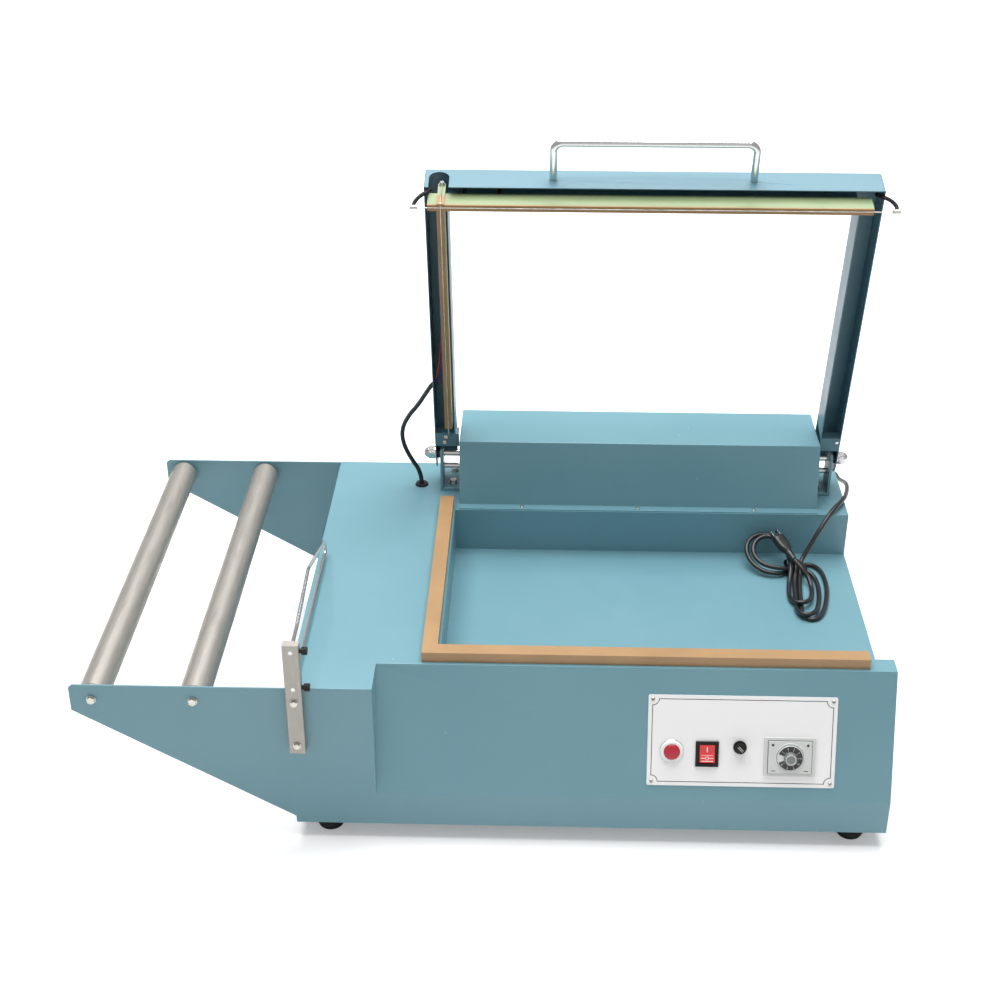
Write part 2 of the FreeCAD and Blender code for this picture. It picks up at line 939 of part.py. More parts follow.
def make_axles():
    """The two fixed roller axles between the brackets."""
    start = front_face_y + bracket_sheet
    end = deck_rear - bracket_sheet
    return [rod_y(axle_radius, start, end, x, roller_z) for x in (roller_outer_x, roller_inner_x)]


def make_axle_screws():
    """Hex screws with washers that hold the axles from outside."""
    screws = []
    for x in (roller_outer_x, roller_inner_x):
        for y, outward in ((front_face_y, -1), (deck_rear, 1)):
            washer = sorted((y, y + outward * axle_washer))
            head = sorted((y + outward * axle_washer, y + outward * axle_screw_head))
            piece = rod_y(axle_screw_radius, washer[0], washer[1], x, roller_z)
            screws.append(fuse([piece, hexagon_y(axle_screw_radius - 0.8, head[0], head[1], x, roller_z)]))
    return screws


def hexagon_y(radius, y0, y1, x, z):
    """A hexagonal prism along Y."""
    points = []
    for step in range(6):
        angle = math.radians(60 * step + 30)
        points.append((x + radius * math.cos(angle), z + radius * math.sin(angle)))
    return in_xz(points, y0, y1)


def hexagon_x(radius, x0, x1, y, z):
    """A hexagonal prism along X."""
    points = []
    for step in range(6):
        angle = math.radians(60 * step)
        points.append((y + radius * math.cos(angle), z + radius * math.sin(angle)))
    return in_yz(points, x0, x1)


# ---------------------------------------------------------------- film guide
def guide_rod_x():
    """Plane of the film guide rod, through the middle of its block."""
    return deck_left + block_width / 2


def make_guide_block():
    """Flat bar on the front face with two rod holes and two thumb screw holes."""
    x0 = deck_left
    x1 = deck_left + block_width
    y0 = front_face_y - block_depth
    block = box(x0, x1, y0, front_face_y, block_bottom, block_top)
    block = block.makeChamfer(0.8, edges_where(block, lambda a, b: a.y < y0 + 0.1 and b.y < y0 + 0.1))
    middle_y = front_face_y - block_depth / 2
    for z in (guide_rod_upper, guide_rod_lower):
        block = block.cut(rod_y(guide_rod_radius + running_fit, y0 - 1, front_face_y + 1, guide_rod_x(), z))
        block = block.cut(rod_x(thumb_shank_radius + running_fit, guide_rod_x(), x1 + 1, middle_y, z))
    return block


def guide_rod_path():
    """Corner points (y, z) of the film guide rod, from its upper end round the tip to its lower end."""
    start = front_face_y - block_depth
    bend = front_face_y + guide_rod_straight
    return [
        (start, guide_rod_upper),
        (bend, guide_rod_upper),
        (guide_rod_knee_y, guide_rod_knee_z),
        (guide_rod_tip_y, guide_rod_tip_z),
        (guide_rod_tip_y + 6, guide_rod_lower),
        (start, guide_rod_lower),
    ]


def tube_along(points, radius, radii):
    """A round bar along straight runs joined by tangent arcs.

    Args: points of the route, bar radius, and one bend radius for each inner point.
    """
    edges = []
    here = points[0]
    for i in range(1, len(points) - 1):
        before = (points[i - 1] - points[i]).normalize()
        after = (points[i + 1] - points[i]).normalize()
        turn = math.pi - before.getAngle(after)
        back = radii[i - 1] * math.tan(turn / 2)
        start = points[i] + before * back
        end = points[i] + after * back
        middle_dir = (before + after).normalize()
        centre = points[i] + middle_dir * (radii[i - 1] / math.cos(turn / 2))
        middle = centre - middle_dir * radii[i - 1]
        if start.distanceToPoint(here) > 1e-6:
            edges.append(Part.LineSegment(here, start).toShape())
        edges.append(Part.Arc(start, middle, end).toShape())
        here = end
    edges.append(Part.LineSegment(here, points[-1]).toShape())
    path = Part.Wire(edges)
    first = (points[1] - points[0]).normalize()
    section = Part.Wire([Part.Circle(points[0], first, radius).toShape()])
    solid = path.makePipeShell([section], True, False)
    return solid, path.Length


def make_guide_rod():
    """Bent wire that opens the folded film, both its ends in the block."""
    x = guide_rod_x()
    points = [Vector(x, y, z) for y, z in guide_rod_path()]
    solid, length = tube_along(points, guide_rod_radius, [60, 25, 9, 9])
    return solid


def make_thumb_screw(z):
    """One knurled thumb screw that clamps the guide rod from the side."""
    x1 = deck_left + block_width
    y = front_face_y - block_depth / 2
    head_start = x1 + thumb_neck_length
    head = rod_x(thumb_head_radius, head_start, head_start + thumb_head_length, y, z)
    for step in range(10):
        angle = math.radians(36 * step)
        reach = thumb_head_radius + 0.35
        groove = rod_x(
            0.9,
            head_start - 1,
            head_start + thumb_head_length + 1,
            y + reach * math.cos(angle),
            z + reach * math.sin(angle),
        )
        head = head.cut(groove)
    neck = rod_x(thumb_head_radius * 0.6, x1 + fit, head_start, y, z)
    shank = rod_x(thumb_shank_radius, guide_rod_x() + guide_rod_radius + fit, x1 + fit, y, z)
    return fuse([head, neck, shank])


def make_block_screws():
    """Two plated hex screws that hold the guide block on the front face."""
    screws = []
    face = front_face_y - block_depth
    for z in (block_screw_upper, block_screw_lower):
        washer = rod_y(5.0, face - 0.8, face, guide_rod_x(), z)
        screws.append(fuse([washer, hexagon_y(4.2, face - 3.4, face - 0.8, guide_rod_x(), z)]))
    return screws


# ---------------------------------------------------------------- hinge, springs and their cover
def make_hinge_brackets():
    """Two angle brackets on the rear step: a base with bolt holes and an upright cheek for the shaft."""
    brackets = []
    front = hinge_y - cheek_half
    for outer, inward in ((cheek_left, 1), (cheek_right, -1)):
        x0, x1 = sorted((outer, outer + inward * cheek_thickness))
        cheek = fuse(
            [
                box(x0, x1, front, hinge_y + cheek_half, 0, hinge_z),
                rod_x(cheek_half, x0, x1, hinge_y, hinge_z),
            ]
        )
        cheek = cheek.cut(box(x0 - 1, x1 + 1, front - 50, deck_rear, hinge_z + 13, hinge_z + 50))
        b0, b1 = sorted((outer, outer + inward * hinge_base_width))
        base = box(b0, b1, front, front + hinge_base_length, 0, cheek_thickness)
        bracket = fuse([cheek, base])
        bracket = bracket.cut(rod_x(shaft_radius + running_fit + bush_wall, x0 - 1, x1 + 1, hinge_y, hinge_z))
        bracket = bracket.cut(rod_x(anchor_radius, x0 - 1, x1 + 1, hinge_y, hinge_z - anchor_drop))
        for y in hinge_bolt_ys():
            bracket = bracket.cut(rod_z(3.5, -1, cheek_thickness + 1, outer + inward * hinge_bolt_x, y))
        brackets.append(bracket)
    return group(brackets)


def hinge_bolt_ys():
    """Places along Y of the hinge bracket bolts."""
    front = hinge_y - cheek_half
    return front + 18, front + hinge_base_length - 18


def make_hinge_bolts():
    """Hex bolts with washers in the hinge brackets' bases."""
    bolts = []
    for outer, inward in ((cheek_left, 1), (cheek_right, -1)):
        for y in hinge_bolt_ys():
            x = outer + inward * hinge_bolt_x
            washer = rod_z(6.5, cheek_thickness, cheek_thickness + 1.2, x, y)
            points = []
            for step in range(6):
                angle = math.radians(60 * step)
                points.append((x + 5.6 * math.cos(angle), y + 5.6 * math.sin(angle)))
            head = in_xy(points, cheek_thickness + 1.2, cheek_thickness + 5.4)
            bolts.append(fuse([washer, head]))
    return group(bolts)


def make_bushes():
    """Flanged bushes in the cheeks, in which the hinge shaft turns."""
    bushes = []
    bore = shaft_radius + running_fit
    for outer, inward in ((cheek_left, 1), (cheek_right, -1)):
        x0, x1 = sorted((outer, outer + inward * cheek_thickness))
        f0, f1 = sorted((outer, outer - inward * bush_flange))
        sleeve = ring_x(bore, bore + bush_wall, x0, x1, hinge_y, hinge_z)
        flange = ring_x(bore, bush_flange_radius, f0, f1, hinge_y, hinge_z)
        bushes.append(fuse([sleeve, flange]))
    return group(bushes)


def make_anchor_rod():
    """Rod under the shaft that takes the fixed legs of the springs."""
    return rod_x(anchor_radius, cheek_left, cheek_right, hinge_y, hinge_z - anchor_drop)


def collar_places():
    """Start and end of the two collars that are pinned on the shaft."""
    left = cover_left + collar_inset
    right = cover_right - collar_inset
    return (left, left + collar_length), (right - collar_length, right)


def make_springs():
    """Two close wound torsion springs between their collars and the anchor rod."""
    springs = []
    inner = spring_mean_radius - spring_wire / 2
    outer = spring_mean_radius + spring_wire / 2
    (l0, l1), (r0, r1) = collar_places()
    anchor_z = hinge_z - anchor_drop
    for start, end, leg in (
        (l1 + fit, l1 + fit + spring_length, l1 + spring_length - 2),
        (r0 - fit - spring_length, r0 - fit, r0 - spring_length + 2),
    ):
        coil = ring_x(inner, outer, start, end, hinge_y, hinge_z)
        tail = rod_z(
            spring_wire / 2,
            anchor_z - 3,
            hinge_z,
            leg,
            hinge_y + anchor_radius + spring_wire / 2 + fit,
        )
        coil = fuse([coil, tail]).cut(rod_x(inner, start - 1, end + 1, hinge_y, hinge_z))
        springs.append(coil)
    return group(springs)


def make_cover():
    """Folded cover over shaft and springs, its ends cut out for the hinge brackets."""
    outer = [
        (cover_front_bottom, 0),
        (cover_front_top, cover_height),
        (cover_rear, cover_height),
        (cover_rear, 0),
    ]
    slope = (cover_front_top - cover_front_bottom) / cover_height
    step = sheet * math.sqrt(1 + slope * slope)
    inner = [
        (cover_front_bottom + step - slope * 1, -1),
        (cover_front_top + step - slope * sheet, cover_height - sheet),
        (cover_rear - sheet, cover_height - sheet),
        (cover_rear - sheet, -1),
    ]
    shell = in_yz(outer, cover_left, cover_right)
    folds = edges_where(shell, lambda a, b: abs(a.z - cover_height) < 1e-6 and abs(b.z - cover_height) < 1e-6)
    shell = shell.makeFillet(sheet * 0.8, folds)
    shell = shell.cut(in_yz(inner, cover_left + sheet, cover_right - sheet))
    shell = shell.cut(
        box(
            cover_left - 1,
            cover_right + 1,
            hinge_y - cover_slot_half,
            hinge_y + cover_slot_half + 30,
            -1,
            cover_slot_height,
        )
    )
    flange = box(cover_left, cover_right, cover_front_bottom - cover_flange, cover_front_bottom + sheet, 0, sheet)
    return fuse([shell, flange])


def make_shaft():
    """Hinge shaft that turns with the lid, from one arm to the other."""
    reach = washer_thickness + nut_length
    return rod_x(shaft_radius, lid_left - reach, lid_right + reach, hinge_y, hinge_z)


def make_shaft_collars():
    """Spacers between arm and bracket, and the two spring collars with their set screws."""
    bore = shaft_radius + running_fit
    collars = []
    for x0, x1 in (
        (lid_left + sheet, cheek_left - bush_flange - fit),
        (cheek_right + bush_flange + fit, lid_right - sheet),
    ):
        collars.append(ring_x(bore, shaft_radius + 3, x0, x1, hinge_y, hinge_z))
    for x0, x1 in collar_places():
        collar = ring_x(bore, collar_radius, x0, x1, hinge_y, hinge_z)
        middle = (x0 + x1) / 2
        screw = rod_z(2.5, hinge_z + bore, hinge_z + collar_radius + 1.5, middle, hinge_y)
        collars.append(fuse([collar, screw]))
    return group(collars)


def make_acorn_nuts():
    """Domed nuts with washers on both ends of the shaft."""
    nuts = []
    for x, outward in ((lid_left, -1), (lid_right, 1)):
        w0, w1 = sorted((x, x + outward * washer_thickness))
        washer = rod_x(washer_radius, w0, w1, hinge_y, hinge_z)
        n0, n1 = sorted((x + outward * washer_thickness, x + outward * (washer_thickness + nut_length)))
        nut = hexagon_x(nut_across / 2 / math.cos(math.radians(30)), n0, n1, hinge_y, hinge_z)
        dome_x = x + outward * (washer_thickness + nut_length - 1)
        dome = Part.makeSphere(nut_across / 2 - 0.4, Vector(dome_x, hinge_y, hinge_z))
        half = box(-20, 20, hinge_y - 20, hinge_y + 20, hinge_z - 20, hinge_z + 20)
        half.translate(Vector(dome_x + outward * 20, 0, 0))
        nut = fuse([washer, nut, dome.common(half)])
        nuts.append(nut.cut(make_shaft()))
    return group(nuts)


# ---------------------------------------------------------------- lid
def make_front_beam():
    """Front channel of the lid with the arched notch that the left sealing bar reaches through."""
    rear = lid_front + channel_width
    outer = box(lid_left, lid_right, lid_front, rear, channel_bottom, channel_top)
    corners = edges_where(
        outer,
        lambda a, b: abs(a.z - channel_top) < 1e-6 and abs(b.z - channel_top) < 1e-6 and abs(a.x - b.x) < 1e-6,
    )
    outer = outer.makeFillet(lid_corner, corners)
    folds = edges_where(
        outer,
        lambda a, b: abs(a.z - channel_top) < 1e-6
        and abs(b.z - channel_top) < 1e-6
        and abs(a.y - lid_front) < 1e-6
        and abs(b.y - lid_front) < 1e-6,
    )
    outer = outer.makeFillet(sheet, folds)
    hollow = box(
        lid_left + sheet,
        lid_right - sheet,
        lid_front + sheet,
        rear - sheet,
        channel_bottom - 1,
        web_inner,
    )
    beam = outer.cut(hollow)
    for x0, x1 in (
        (lid_left + sheet, lid_left + channel_inner),
        (lid_right - channel_inner, lid_right - sheet),
    ):
        beam = beam.cut(box(x0, x1, rear - sheet - 1, rear + 1, channel_bottom - 1, web_inner))
    arch_z = channel_bottom + notch_height - notch_half
    notch = fuse(
        [
            box(
                notch_centre - notch_half,
                notch_centre + notch_half,
                lid_front - 1,
                lid_front + sheet + 1,
                channel_bottom - 1,
                arch_z,
            ),
            rod_y(notch_half, lid_front - 1, lid_front + sheet + 1, notch_centre, arch_z),
        ]
    )
    beam = beam.cut(notch)
    for x in handle_feet():
        beam = beam.cut(rod_y(3.0, lid_front - 1, lid_front + sheet + 1, x, handle_z))
    return beam


def make_arm(outer_x, inward):
    """One side arm: a channel that opens downwards, welded gusset and the hinge lug."""
    start = lid_front + channel_width
    end = hinge_y + tail_length
    x0, x1 = sorted((outer_x, outer_x + inward * channel_width))
    o0, o1 = sorted((outer_x, outer_x + inward * sheet))
    i0, i1 = sorted((outer_x + inward * channel_width, outer_x + inward * channel_inner))
    web_end = hinge_y + tail_length - 12
    lug_round = tail_length - 4
    lug_z = channel_bottom + lug_round
    outer_wall = fuse(
        [
            box(o0, o1, start, end - lug_round, channel_bottom, channel_top),
            box(o0, o1, end - lug_round, end - 6, lug_z - 12, channel_top),
            rod_x(lug_round, o0, o1, end - lug_round, lug_z).common(
                box(o0, o1, end - lug_round, end + 1, channel_bottom, channel_top)
            ),
        ]
    )
    web = box(x0, x1, start, web_end, web_inner, channel_top)
    inner_wall = box(i0, i1, start, inner_wall_end, channel_bottom, channel_top)
    reach = inward * (channel_width + (gusset_overhang if inward > 0 else 0))
    g0, g1 = sorted((outer_x + inward * sheet / 2, outer_x + reach))
    gusset = box(g0, g1, inner_wall_end, inner_wall_end + gusset_length, channel_bottom, channel_bottom + sheet)
    lip = box(g0, g1, inner_wall_end, inner_wall_end + sheet, channel_bottom, channel_bottom + gusset_lip)
    arm = fuse([outer_wall, web, inner_wall, gusset, lip])
    arm = arm.cut(rod_x(shaft_radius, o0 - 1, o1 + 1, hinge_y, hinge_z))
    if inward > 0:
        arm = arm.cut(rod_x(arm_cable_radius + 1, o0 - 1, o1 + 1, cable_hole_y, cable_hole_z))
    return arm


def make_seal_bars():
    """The two insulating bars, half lapped where they cross, with their lower edges taped."""
    half = bar_thickness / 2
    front = box(
        front_bar_left,
        front_bar_right,
        front_bar_centre - half,
        front_bar_centre + half,
        bar_tip,
        web_inner,
    )
    left = box(
        left_bar_centre - half,
        left_bar_centre + half,
        left_bar_front,
        left_bar_rear,
        bar_tip,
        web_inner,
    )
    nose = box(
        left_bar_centre - half - 1,
        left_bar_centre + half + 1,
        left_bar_front - 1,
        lid_front + sheet + fit,
        channel_bottom - 3,
        web_inner + 1,
    )
    left = left.cut(nose)
    front_lap = box(
        left_bar_centre - half,
        left_bar_centre + half,
        front_bar_centre - half - 1,
        front_bar_centre + half + 1,
        bar_tip - 1,
        lap_height,
    )
    left_lap = box(
        left_bar_centre - half - 1,
        left_bar_centre + half + 1,
        front_bar_centre - half,
        front_bar_centre + half,
        lap_height,
        web_inner + 1,
    )
    return front.cut(front_lap), left.cut(left_lap)


def make_seal_tapes():
    """Heat proof tape folded over the lower edge of both bars."""
    half = bar_thickness / 2
    low = bar_tip - tape
    high = bar_tip + tape_wrap
    cross0 = left_bar_centre - half - tape
    cross1 = left_bar_centre + half + tape
    tapes = []
    for x0, x1 in ((front_bar_left, cross0), (cross1, front_bar_right)):
        outer = box(x0, x1, front_bar_centre - half - tape, front_bar_centre + half + tape, low, high)
        inner = box(x0 - 1, x1 + 1, front_bar_centre - half, front_bar_centre + half, bar_tip, high + 1)
        tapes.append(outer.cut(inner))
    outer = box(cross0, cross1, left_bar_front, left_bar_rear, low, high)
    inner = box(cross0 + tape, cross1 - tape, left_bar_front - 1, left_bar_rear + 1, bar_tip, high + 1)
    left = outer.cut(inner)
    left = left.cut(box(cross0 - 1, cross1 + 1, front_bar_centre - half, front_bar_centre + half, bar_tip, high + 1))
    tapes.append(left)
    return group(tapes)


def wire_z():
    """Height of the sealing wires' centre, just under the tape."""
    return bar_tip - tape - wire_radius


def make_seal_wires():
    """Sealing wires along both bars: the front one between its terminals, the left one end to end."""
    front = rod_x(
        wire_radius,
        terminal_places()[0] + terminal_length / 2,
        terminal_places()[1] - terminal_length / 2,
        front_bar_centre,
        wire_z(),
    )
    low = wire_z()
    x = left_bar_centre
    rear = inner_wall_end + 6
    left_points = [
        Vector(x, left_bar_front - wire_radius - fit, channel_bottom - 6),
        Vector(x, left_bar_front - wire_radius - fit, low),
        Vector(x, front_bar_centre - 3, low),
    ]
    up, length = tube_along(left_points, wire_radius, [1.6])
    after = rod_y(wire_radius, front_bar_centre + 3, left_bar_rear, x, low)
    rise_points = [
        Vector(x, left_bar_rear, low),
        Vector(x, left_bar_rear + 8, low),
        Vector(x, rear, channel_bottom - 3),
    ]
    rise, length = tube_along(rise_points, wire_radius, [8])
    return group([front, fuse([up]), fuse([after, rise])])


def terminal_places():
    """X places of the front wire's two terminals."""
    return -terminal_reach, lid_right + lid_left + terminal_reach


def make_terminals():
    """Clamps that hold the wire ends: two on the tension arms, one at each end of the left bar."""
    z = wire_z()
    pieces = []
    for x in terminal_places():
        middle = z + terminal_rise
        barrel = rod_x(terminal_radius, x - terminal_length / 2, x + terminal_length / 2, front_bar_centre, middle)
        screw = rod_z(2.0, middle, middle + terminal_radius + terminal_screw, x, front_bar_centre)
        pieces.append(fuse([barrel, screw]))
    nose_z = channel_bottom - 3
    nose_y = left_bar_front
    post = fuse(
        [
            rod_z(3.6, nose_z, nose_z + 2.5, left_bar_centre, nose_y + 4),
            rod_z(3.0, nose_z + 2.5, nose_z + 8, left_bar_centre, nose_y + 4),
        ]
    )
    pieces.append(post)
    for x, y in ((left_bar_centre - 6, inner_wall_end + 5), (left_bar_centre - 8, inner_wall_end + 15)):
        pieces.append(rod_z(3.2, channel_bottom - 2.6, channel_bottom, x, y))
    pieces.append(rod_z(2.6, channel_bottom - 2.2, channel_bottom, lid_right - 6, inner_wall_end + 6))
    return group(pieces)


def make_tension_arms():
    """Sleeved springy arms that pull the front wire tight, from behind the bar's ends out to the terminals."""
    arms = []
    z = wire_z() + terminal_rise
    screw_top = z + terminal_radius + terminal_screw
    behind = front_bar_centre + bar_thickness / 2 + tension_arm_radius + 1.2
    for x, outward in ((terminal_places()[0], -1), (terminal_places()[1], 1)):
        inner_x = x - outward * (terminal_reach - 4)
        points = [
            Vector(inner_x, behind, web_inner),
            Vector(inner_x, behind, channel_bottom - 6),
            Vector(inner_x + outward * 7, behind - 3, screw_top + 10),
            Vector(x, front_bar_centre, screw_top + 6),
            Vector(x, front_bar_centre, screw_top),
        ]
        arm, length = tube_along(points, tension_arm_radius, [8, 8, 5])
        arms.append(arm)
    return group(arms)


def handle_feet():
    """X places of the handle's two feet."""
    return handle_middle - handle_span / 2, handle_middle + handle_span / 2


def make_handle():
    """Bent round bar handle with a foot plate at each end."""
    left, right = handle_feet()
    points = [
        Vector(left, lid_front, handle_z),
        Vector(left, lid_front - handle_reach, handle_z),
        Vector(right, lid_front - handle_reach, handle_z),
        Vector(right, lid_front, handle_z),
    ]
    bar, length = tube_along(points, handle_radius, [handle_bend, handle_bend])
    feet = [rod_y(handle_foot_radius, lid_front - handle_foot, lid_front, x, handle_z) for x in (left, right)]
    return fuse([bar] + feet)


def make_lid_screws():
    """Screw heads on the lid: those of the sealing bars on top and those of the handle inside."""
    screws = []
    step = (front_bar_right - front_bar_left) / 4
    for i in range(4):
        x = front_bar_left + step * (i + 0.5)
        screws.append(rod_z(stud_radius, channel_top, channel_top + stud_head, x, front_bar_centre))
    run = left_bar_rear - lid_front - channel_width
    for i in range(3):
        y = lid_front + channel_width + run * (i + 0.5) / 3
        screws.append(rod_z(stud_radius, channel_top, channel_top + stud_head, left_bar_centre, y))
    for x in handle_feet():
        screws.append(rod_y(stud_radius, lid_front + sheet, lid_front + sheet + stud_head, x, handle_z))
    return group(screws)


def make_arm_leads():
    """The two leads that run along the left bar from the cable hole to the front beam."""
    leads = []
    x = left_bar_centre - bar_thickness / 2 - lead_radius - fit / 2
    for z in (lead_z, lead_z + 2 * lead_radius + fit / 2):
        leads.append(rod_y(lead_radius, front_bar_centre + 8, cable_hole_y, x, z))
    return group(leads)


# ---------------------------------------------------------------- cables
def make_grommet():
    """Rubber grommet where the lid's cable leaves the deck."""
    x, y = deck_cable_x, deck_cable_y
    bore = arm_cable_radius
    hole = grommet_radius - 2
    profile = [
        (x + bore, y, -sheet - 2),
        (x + grommet_radius - 1, y, -sheet - 2),
        (x + grommet_radius - 1, y, -sheet),
        (x + hole, y, -sheet),
        (x + hole, y, 0),
        (x + grommet_radius, y, 0),
        (x + grommet_radius - 1.5, y, grommet_height),
        (x + bore, y, grommet_height),
    ]
    return turned(profile, Vector(x, y, 0), Vector(0, 0, 1))


def arm_cable_points():
    """Route of the cable from the deck up to the left arm, lid open."""
    end = opened(Part.Vertex(lid_left, cable_hole_y, cable_hole_z)).Point
    x, y = deck_cable_x, deck_cable_y
    return [
        Vector(x, y, -sheet - 2),
        Vector(x, y, 20),
        Vector(x - 16, y - 3, 47),
        Vector(x - 26, y - 6, 74),
        Vector(x - 26.5, y - 10, 98),
        Vector(x - 16, y - 15, 122),
        Vector(end.x - 23, y - 21, 143),
        Vector(end.x - 11, end.y + 5, 165),
        Vector(end.x - 1, end.y, end.z - 3),
        Vector(end.x + 4, end.y, end.z),
    ]


def cord_radii(points, name):
    """Bend radii of a cord's route: each as large as its two runs allow. Prints the least."""
    radii = []
    for i in range(1, len(points) - 1):
        before = points[i] - points[i - 1]
        after = points[i + 1] - points[i]
        turn = before.getAngle(after)
        radii.append(0.45 * min(before.Length, after.Length) / math.tan(turn / 2))
    print(name, "bend radii", [round(r, 1) for r in radii])
    return radii


def make_cord(points, radius, name):
    """A cord along its route, with its volume held against section times length."""
    solid, length = tube_along(points, radius, cord_radii(points, name))
    ideal = math.pi * radius * radius * length
    print(name, "length", round(length, 1), "volume ratio", round(solid.Volume / ideal, 5))
    return solid


def gland_end():
    """Where the cord leaves the strain relief."""
    return deck_rear + gland_nut_length + gland_boot_length


def make_gland():
    """Cord gland on the back wall: hexagon and a tapered boot."""
    nut = hexagon_y(gland_nut_radius, deck_rear, deck_rear + gland_nut_length, gland_x, gland_z)
    start = deck_rear + gland_nut_length
    boot = Part.makeCone(
        gland_nut_radius - 3.5,
        cord_radius + 0.8,
        gland_boot_length,
        Vector(gland_x, start, gland_z),
        Vector(0, 1, 0),
    )
    gland = fuse([nut, boot])
    return gland.cut(rod_y(cord_radius, deck_rear - 1, gland_end() + 1, gland_x, gland_z))


def cord_points():
    """Route of the mains cord from the gland round the rear corner and down into the tray."""
    loop_y = gland_end() + 25
    side = deck_right + 13
    return [
        Vector(gland_x, deck_rear, gland_z),
        Vector(gland_x, loop_y, gland_z),
        Vector((gland_x + side) / 2, loop_y + 22, gland_z + 3),
        Vector(side + 0.5, loop_y, gland_z + 8),
        Vector(side - 0.5, loop_y - 37, gland_z + 15),
        Vector(side + 4.8, deck_rear - 25, -12),
        Vector(deck_right + 7, deck_rear - 80, 0),
        Vector(deck_right - 4.5, tray_rear + 29, 9),
        Vector(deck_right - 24.5, tray_rear + 0.5, 8),
        Vector(deck_right - 43.5, tray_rear - 22.5, -11),
        Vector(hank_x + 2, hank_y + 2, tray_floor + 11),
    ]


def oval(centre, half_x, half_y, thickness, tilt):
    """The outer shape of a flat coil of cord: an oval slab, tilted about X."""
    ellipse = Part.Ellipse(Vector(0, 0, 0), max(half_x, half_y), min(half_x, half_y)).toShape()
    if half_y > half_x:
        ellipse.rotate(Vector(0, 0, 0), Vector(0, 0, 1), 90)
    slab = Part.Face(Part.Wire([ellipse])).extrude(Vector(0, 0, thickness))
    slab.translate(Vector(0, 0, -thickness / 2))
    slab.rotate(Vector(0, 0, 0), Vector(1, 0, 0), tilt)
    slab.translate(centre)
    return slab


def make_hank():
    """The coiled rest of the cord: a loop that leans on the tray's back wall and one flat on its floor."""
    leaning = oval(Vector(hank_x - 37.5, hank_y + 1, tray_floor + 23), 32, 41, 8, 22.6)
    flat = oval(Vector(hank_x + 7.5, hank_y - 69.5, tray_floor + 7.5), 24.5, 68.5, 14, 0)
    waist = box(hank_x - 15, hank_x + 13, hank_y - 15, hank_y + 12, tray_floor + 0.5, tray_floor + 21)
    return fuse([leaning, flat, waist])


def make_plug():
    """Two pin plug that lies on the leaning loop, with its tapered neck."""
    body = box(0, 26, -9, 9, -6.5, 6.5)
    body = body.makeFillet(3, edges_where(body, lambda a, b: abs(a.y - b.y) < 1e-6 and abs(a.z - b.z) < 1e-6))
    neck = Part.makeCone(4.2, 6.4, 18, Vector(-18, 0, 0), Vector(1, 0, 0))
    pins = [box(26, 38, y - 0.8, y + 0.8, -3.0, 3.0) for y in (-5.5, 5.5)]
    plug = fuse([body, neck] + pins)
    plug.rotate(Vector(0, 0, 0), Vector(0, 1, 0), -22)
    plug.rotate(Vector(0, 0, 0), Vector(0, 0, 1), plug_turn)
    plug.translate(Vector(hank_x - 16.7, hank_y, tray_floor + 34.2))
    return plug


# ---------------------------------------------------------------- inside
def make_transformer():
    """Sealing transformer on the bottom plate: laminated core, winding and mounting feet."""
    base = -casing_height + sheet - pan_drop
    x, y = transformer_x, transformer_y
    feet = box(x - 55, x + 55, y - 32, y + 32, base, base + 3)
    core = box(x - 42, x + 42, y - 22, y + 22, base + 3, base + 75)
    window = box(x - 28, x + 28, y - 23, y + 23, base + 18, base + 60)
    core = core.cut(window)
    limb = box(x - 14, x + 14, y - 22, y + 22, base + 3, base + 75)
    coil = box(x - 26, x + 26, y - 34, y + 34, base + 20, base + 58)
    return fuse([feet, core, limb, coil])


def make_terminal_block():
    """Screw terminal block on the bottom plate."""
    base = -casing_height + sheet - pan_drop
    x, y = terminal_block_x, terminal_block_y
    block = box(x - 45, x + 45, y - 11, y + 11, base, base + 18)
    for i in range(6):
        cx = x - 37.5 + 15 * i
        for side in (-6, 6):
            block = block.cut(rod_z(3.0, base + 8, base + 19, cx, y + side))
    for i in range(5):
        cx = x - 30 + 15 * i
        block = block.cut(box(cx - 1, cx + 1, y - 12, y + 12, base + 12, base + 19))
    return block


def make_limit_switch():
    """Limit switch on its bracket under the cover, which the left collar trips as the lid closes."""
    (l0, l1), places = collar_places()
    middle = (l0 + l1) / 2
    y = hinge_y - 32
    foot = box(middle - 14, middle + 14, y - 6, y + 8, 0, 2)
    upright = box(middle - 14, middle + 14, y - 6, y - 4, 0, 50)
    body = box(middle - 12, middle + 12, y - 4, y + 5, 30, 48)
    lever = box(middle - 3, middle + 3, y + 5, y + 15, 44, 45)
    return fuse([foot, upright, body, lever])


# ---------------------------------------------------------------- output
def overall():
    """Corners of the box round the rigid parts, worked out from the sizes."""
    left = deck_left - bracket_reach
    right = lid_right + washer_thickness + nut_length - 1 + nut_across / 2 - 0.4
    front = front_face_y - block_depth - 3.4
    rear = gland_end()
    return left, right, front, rear


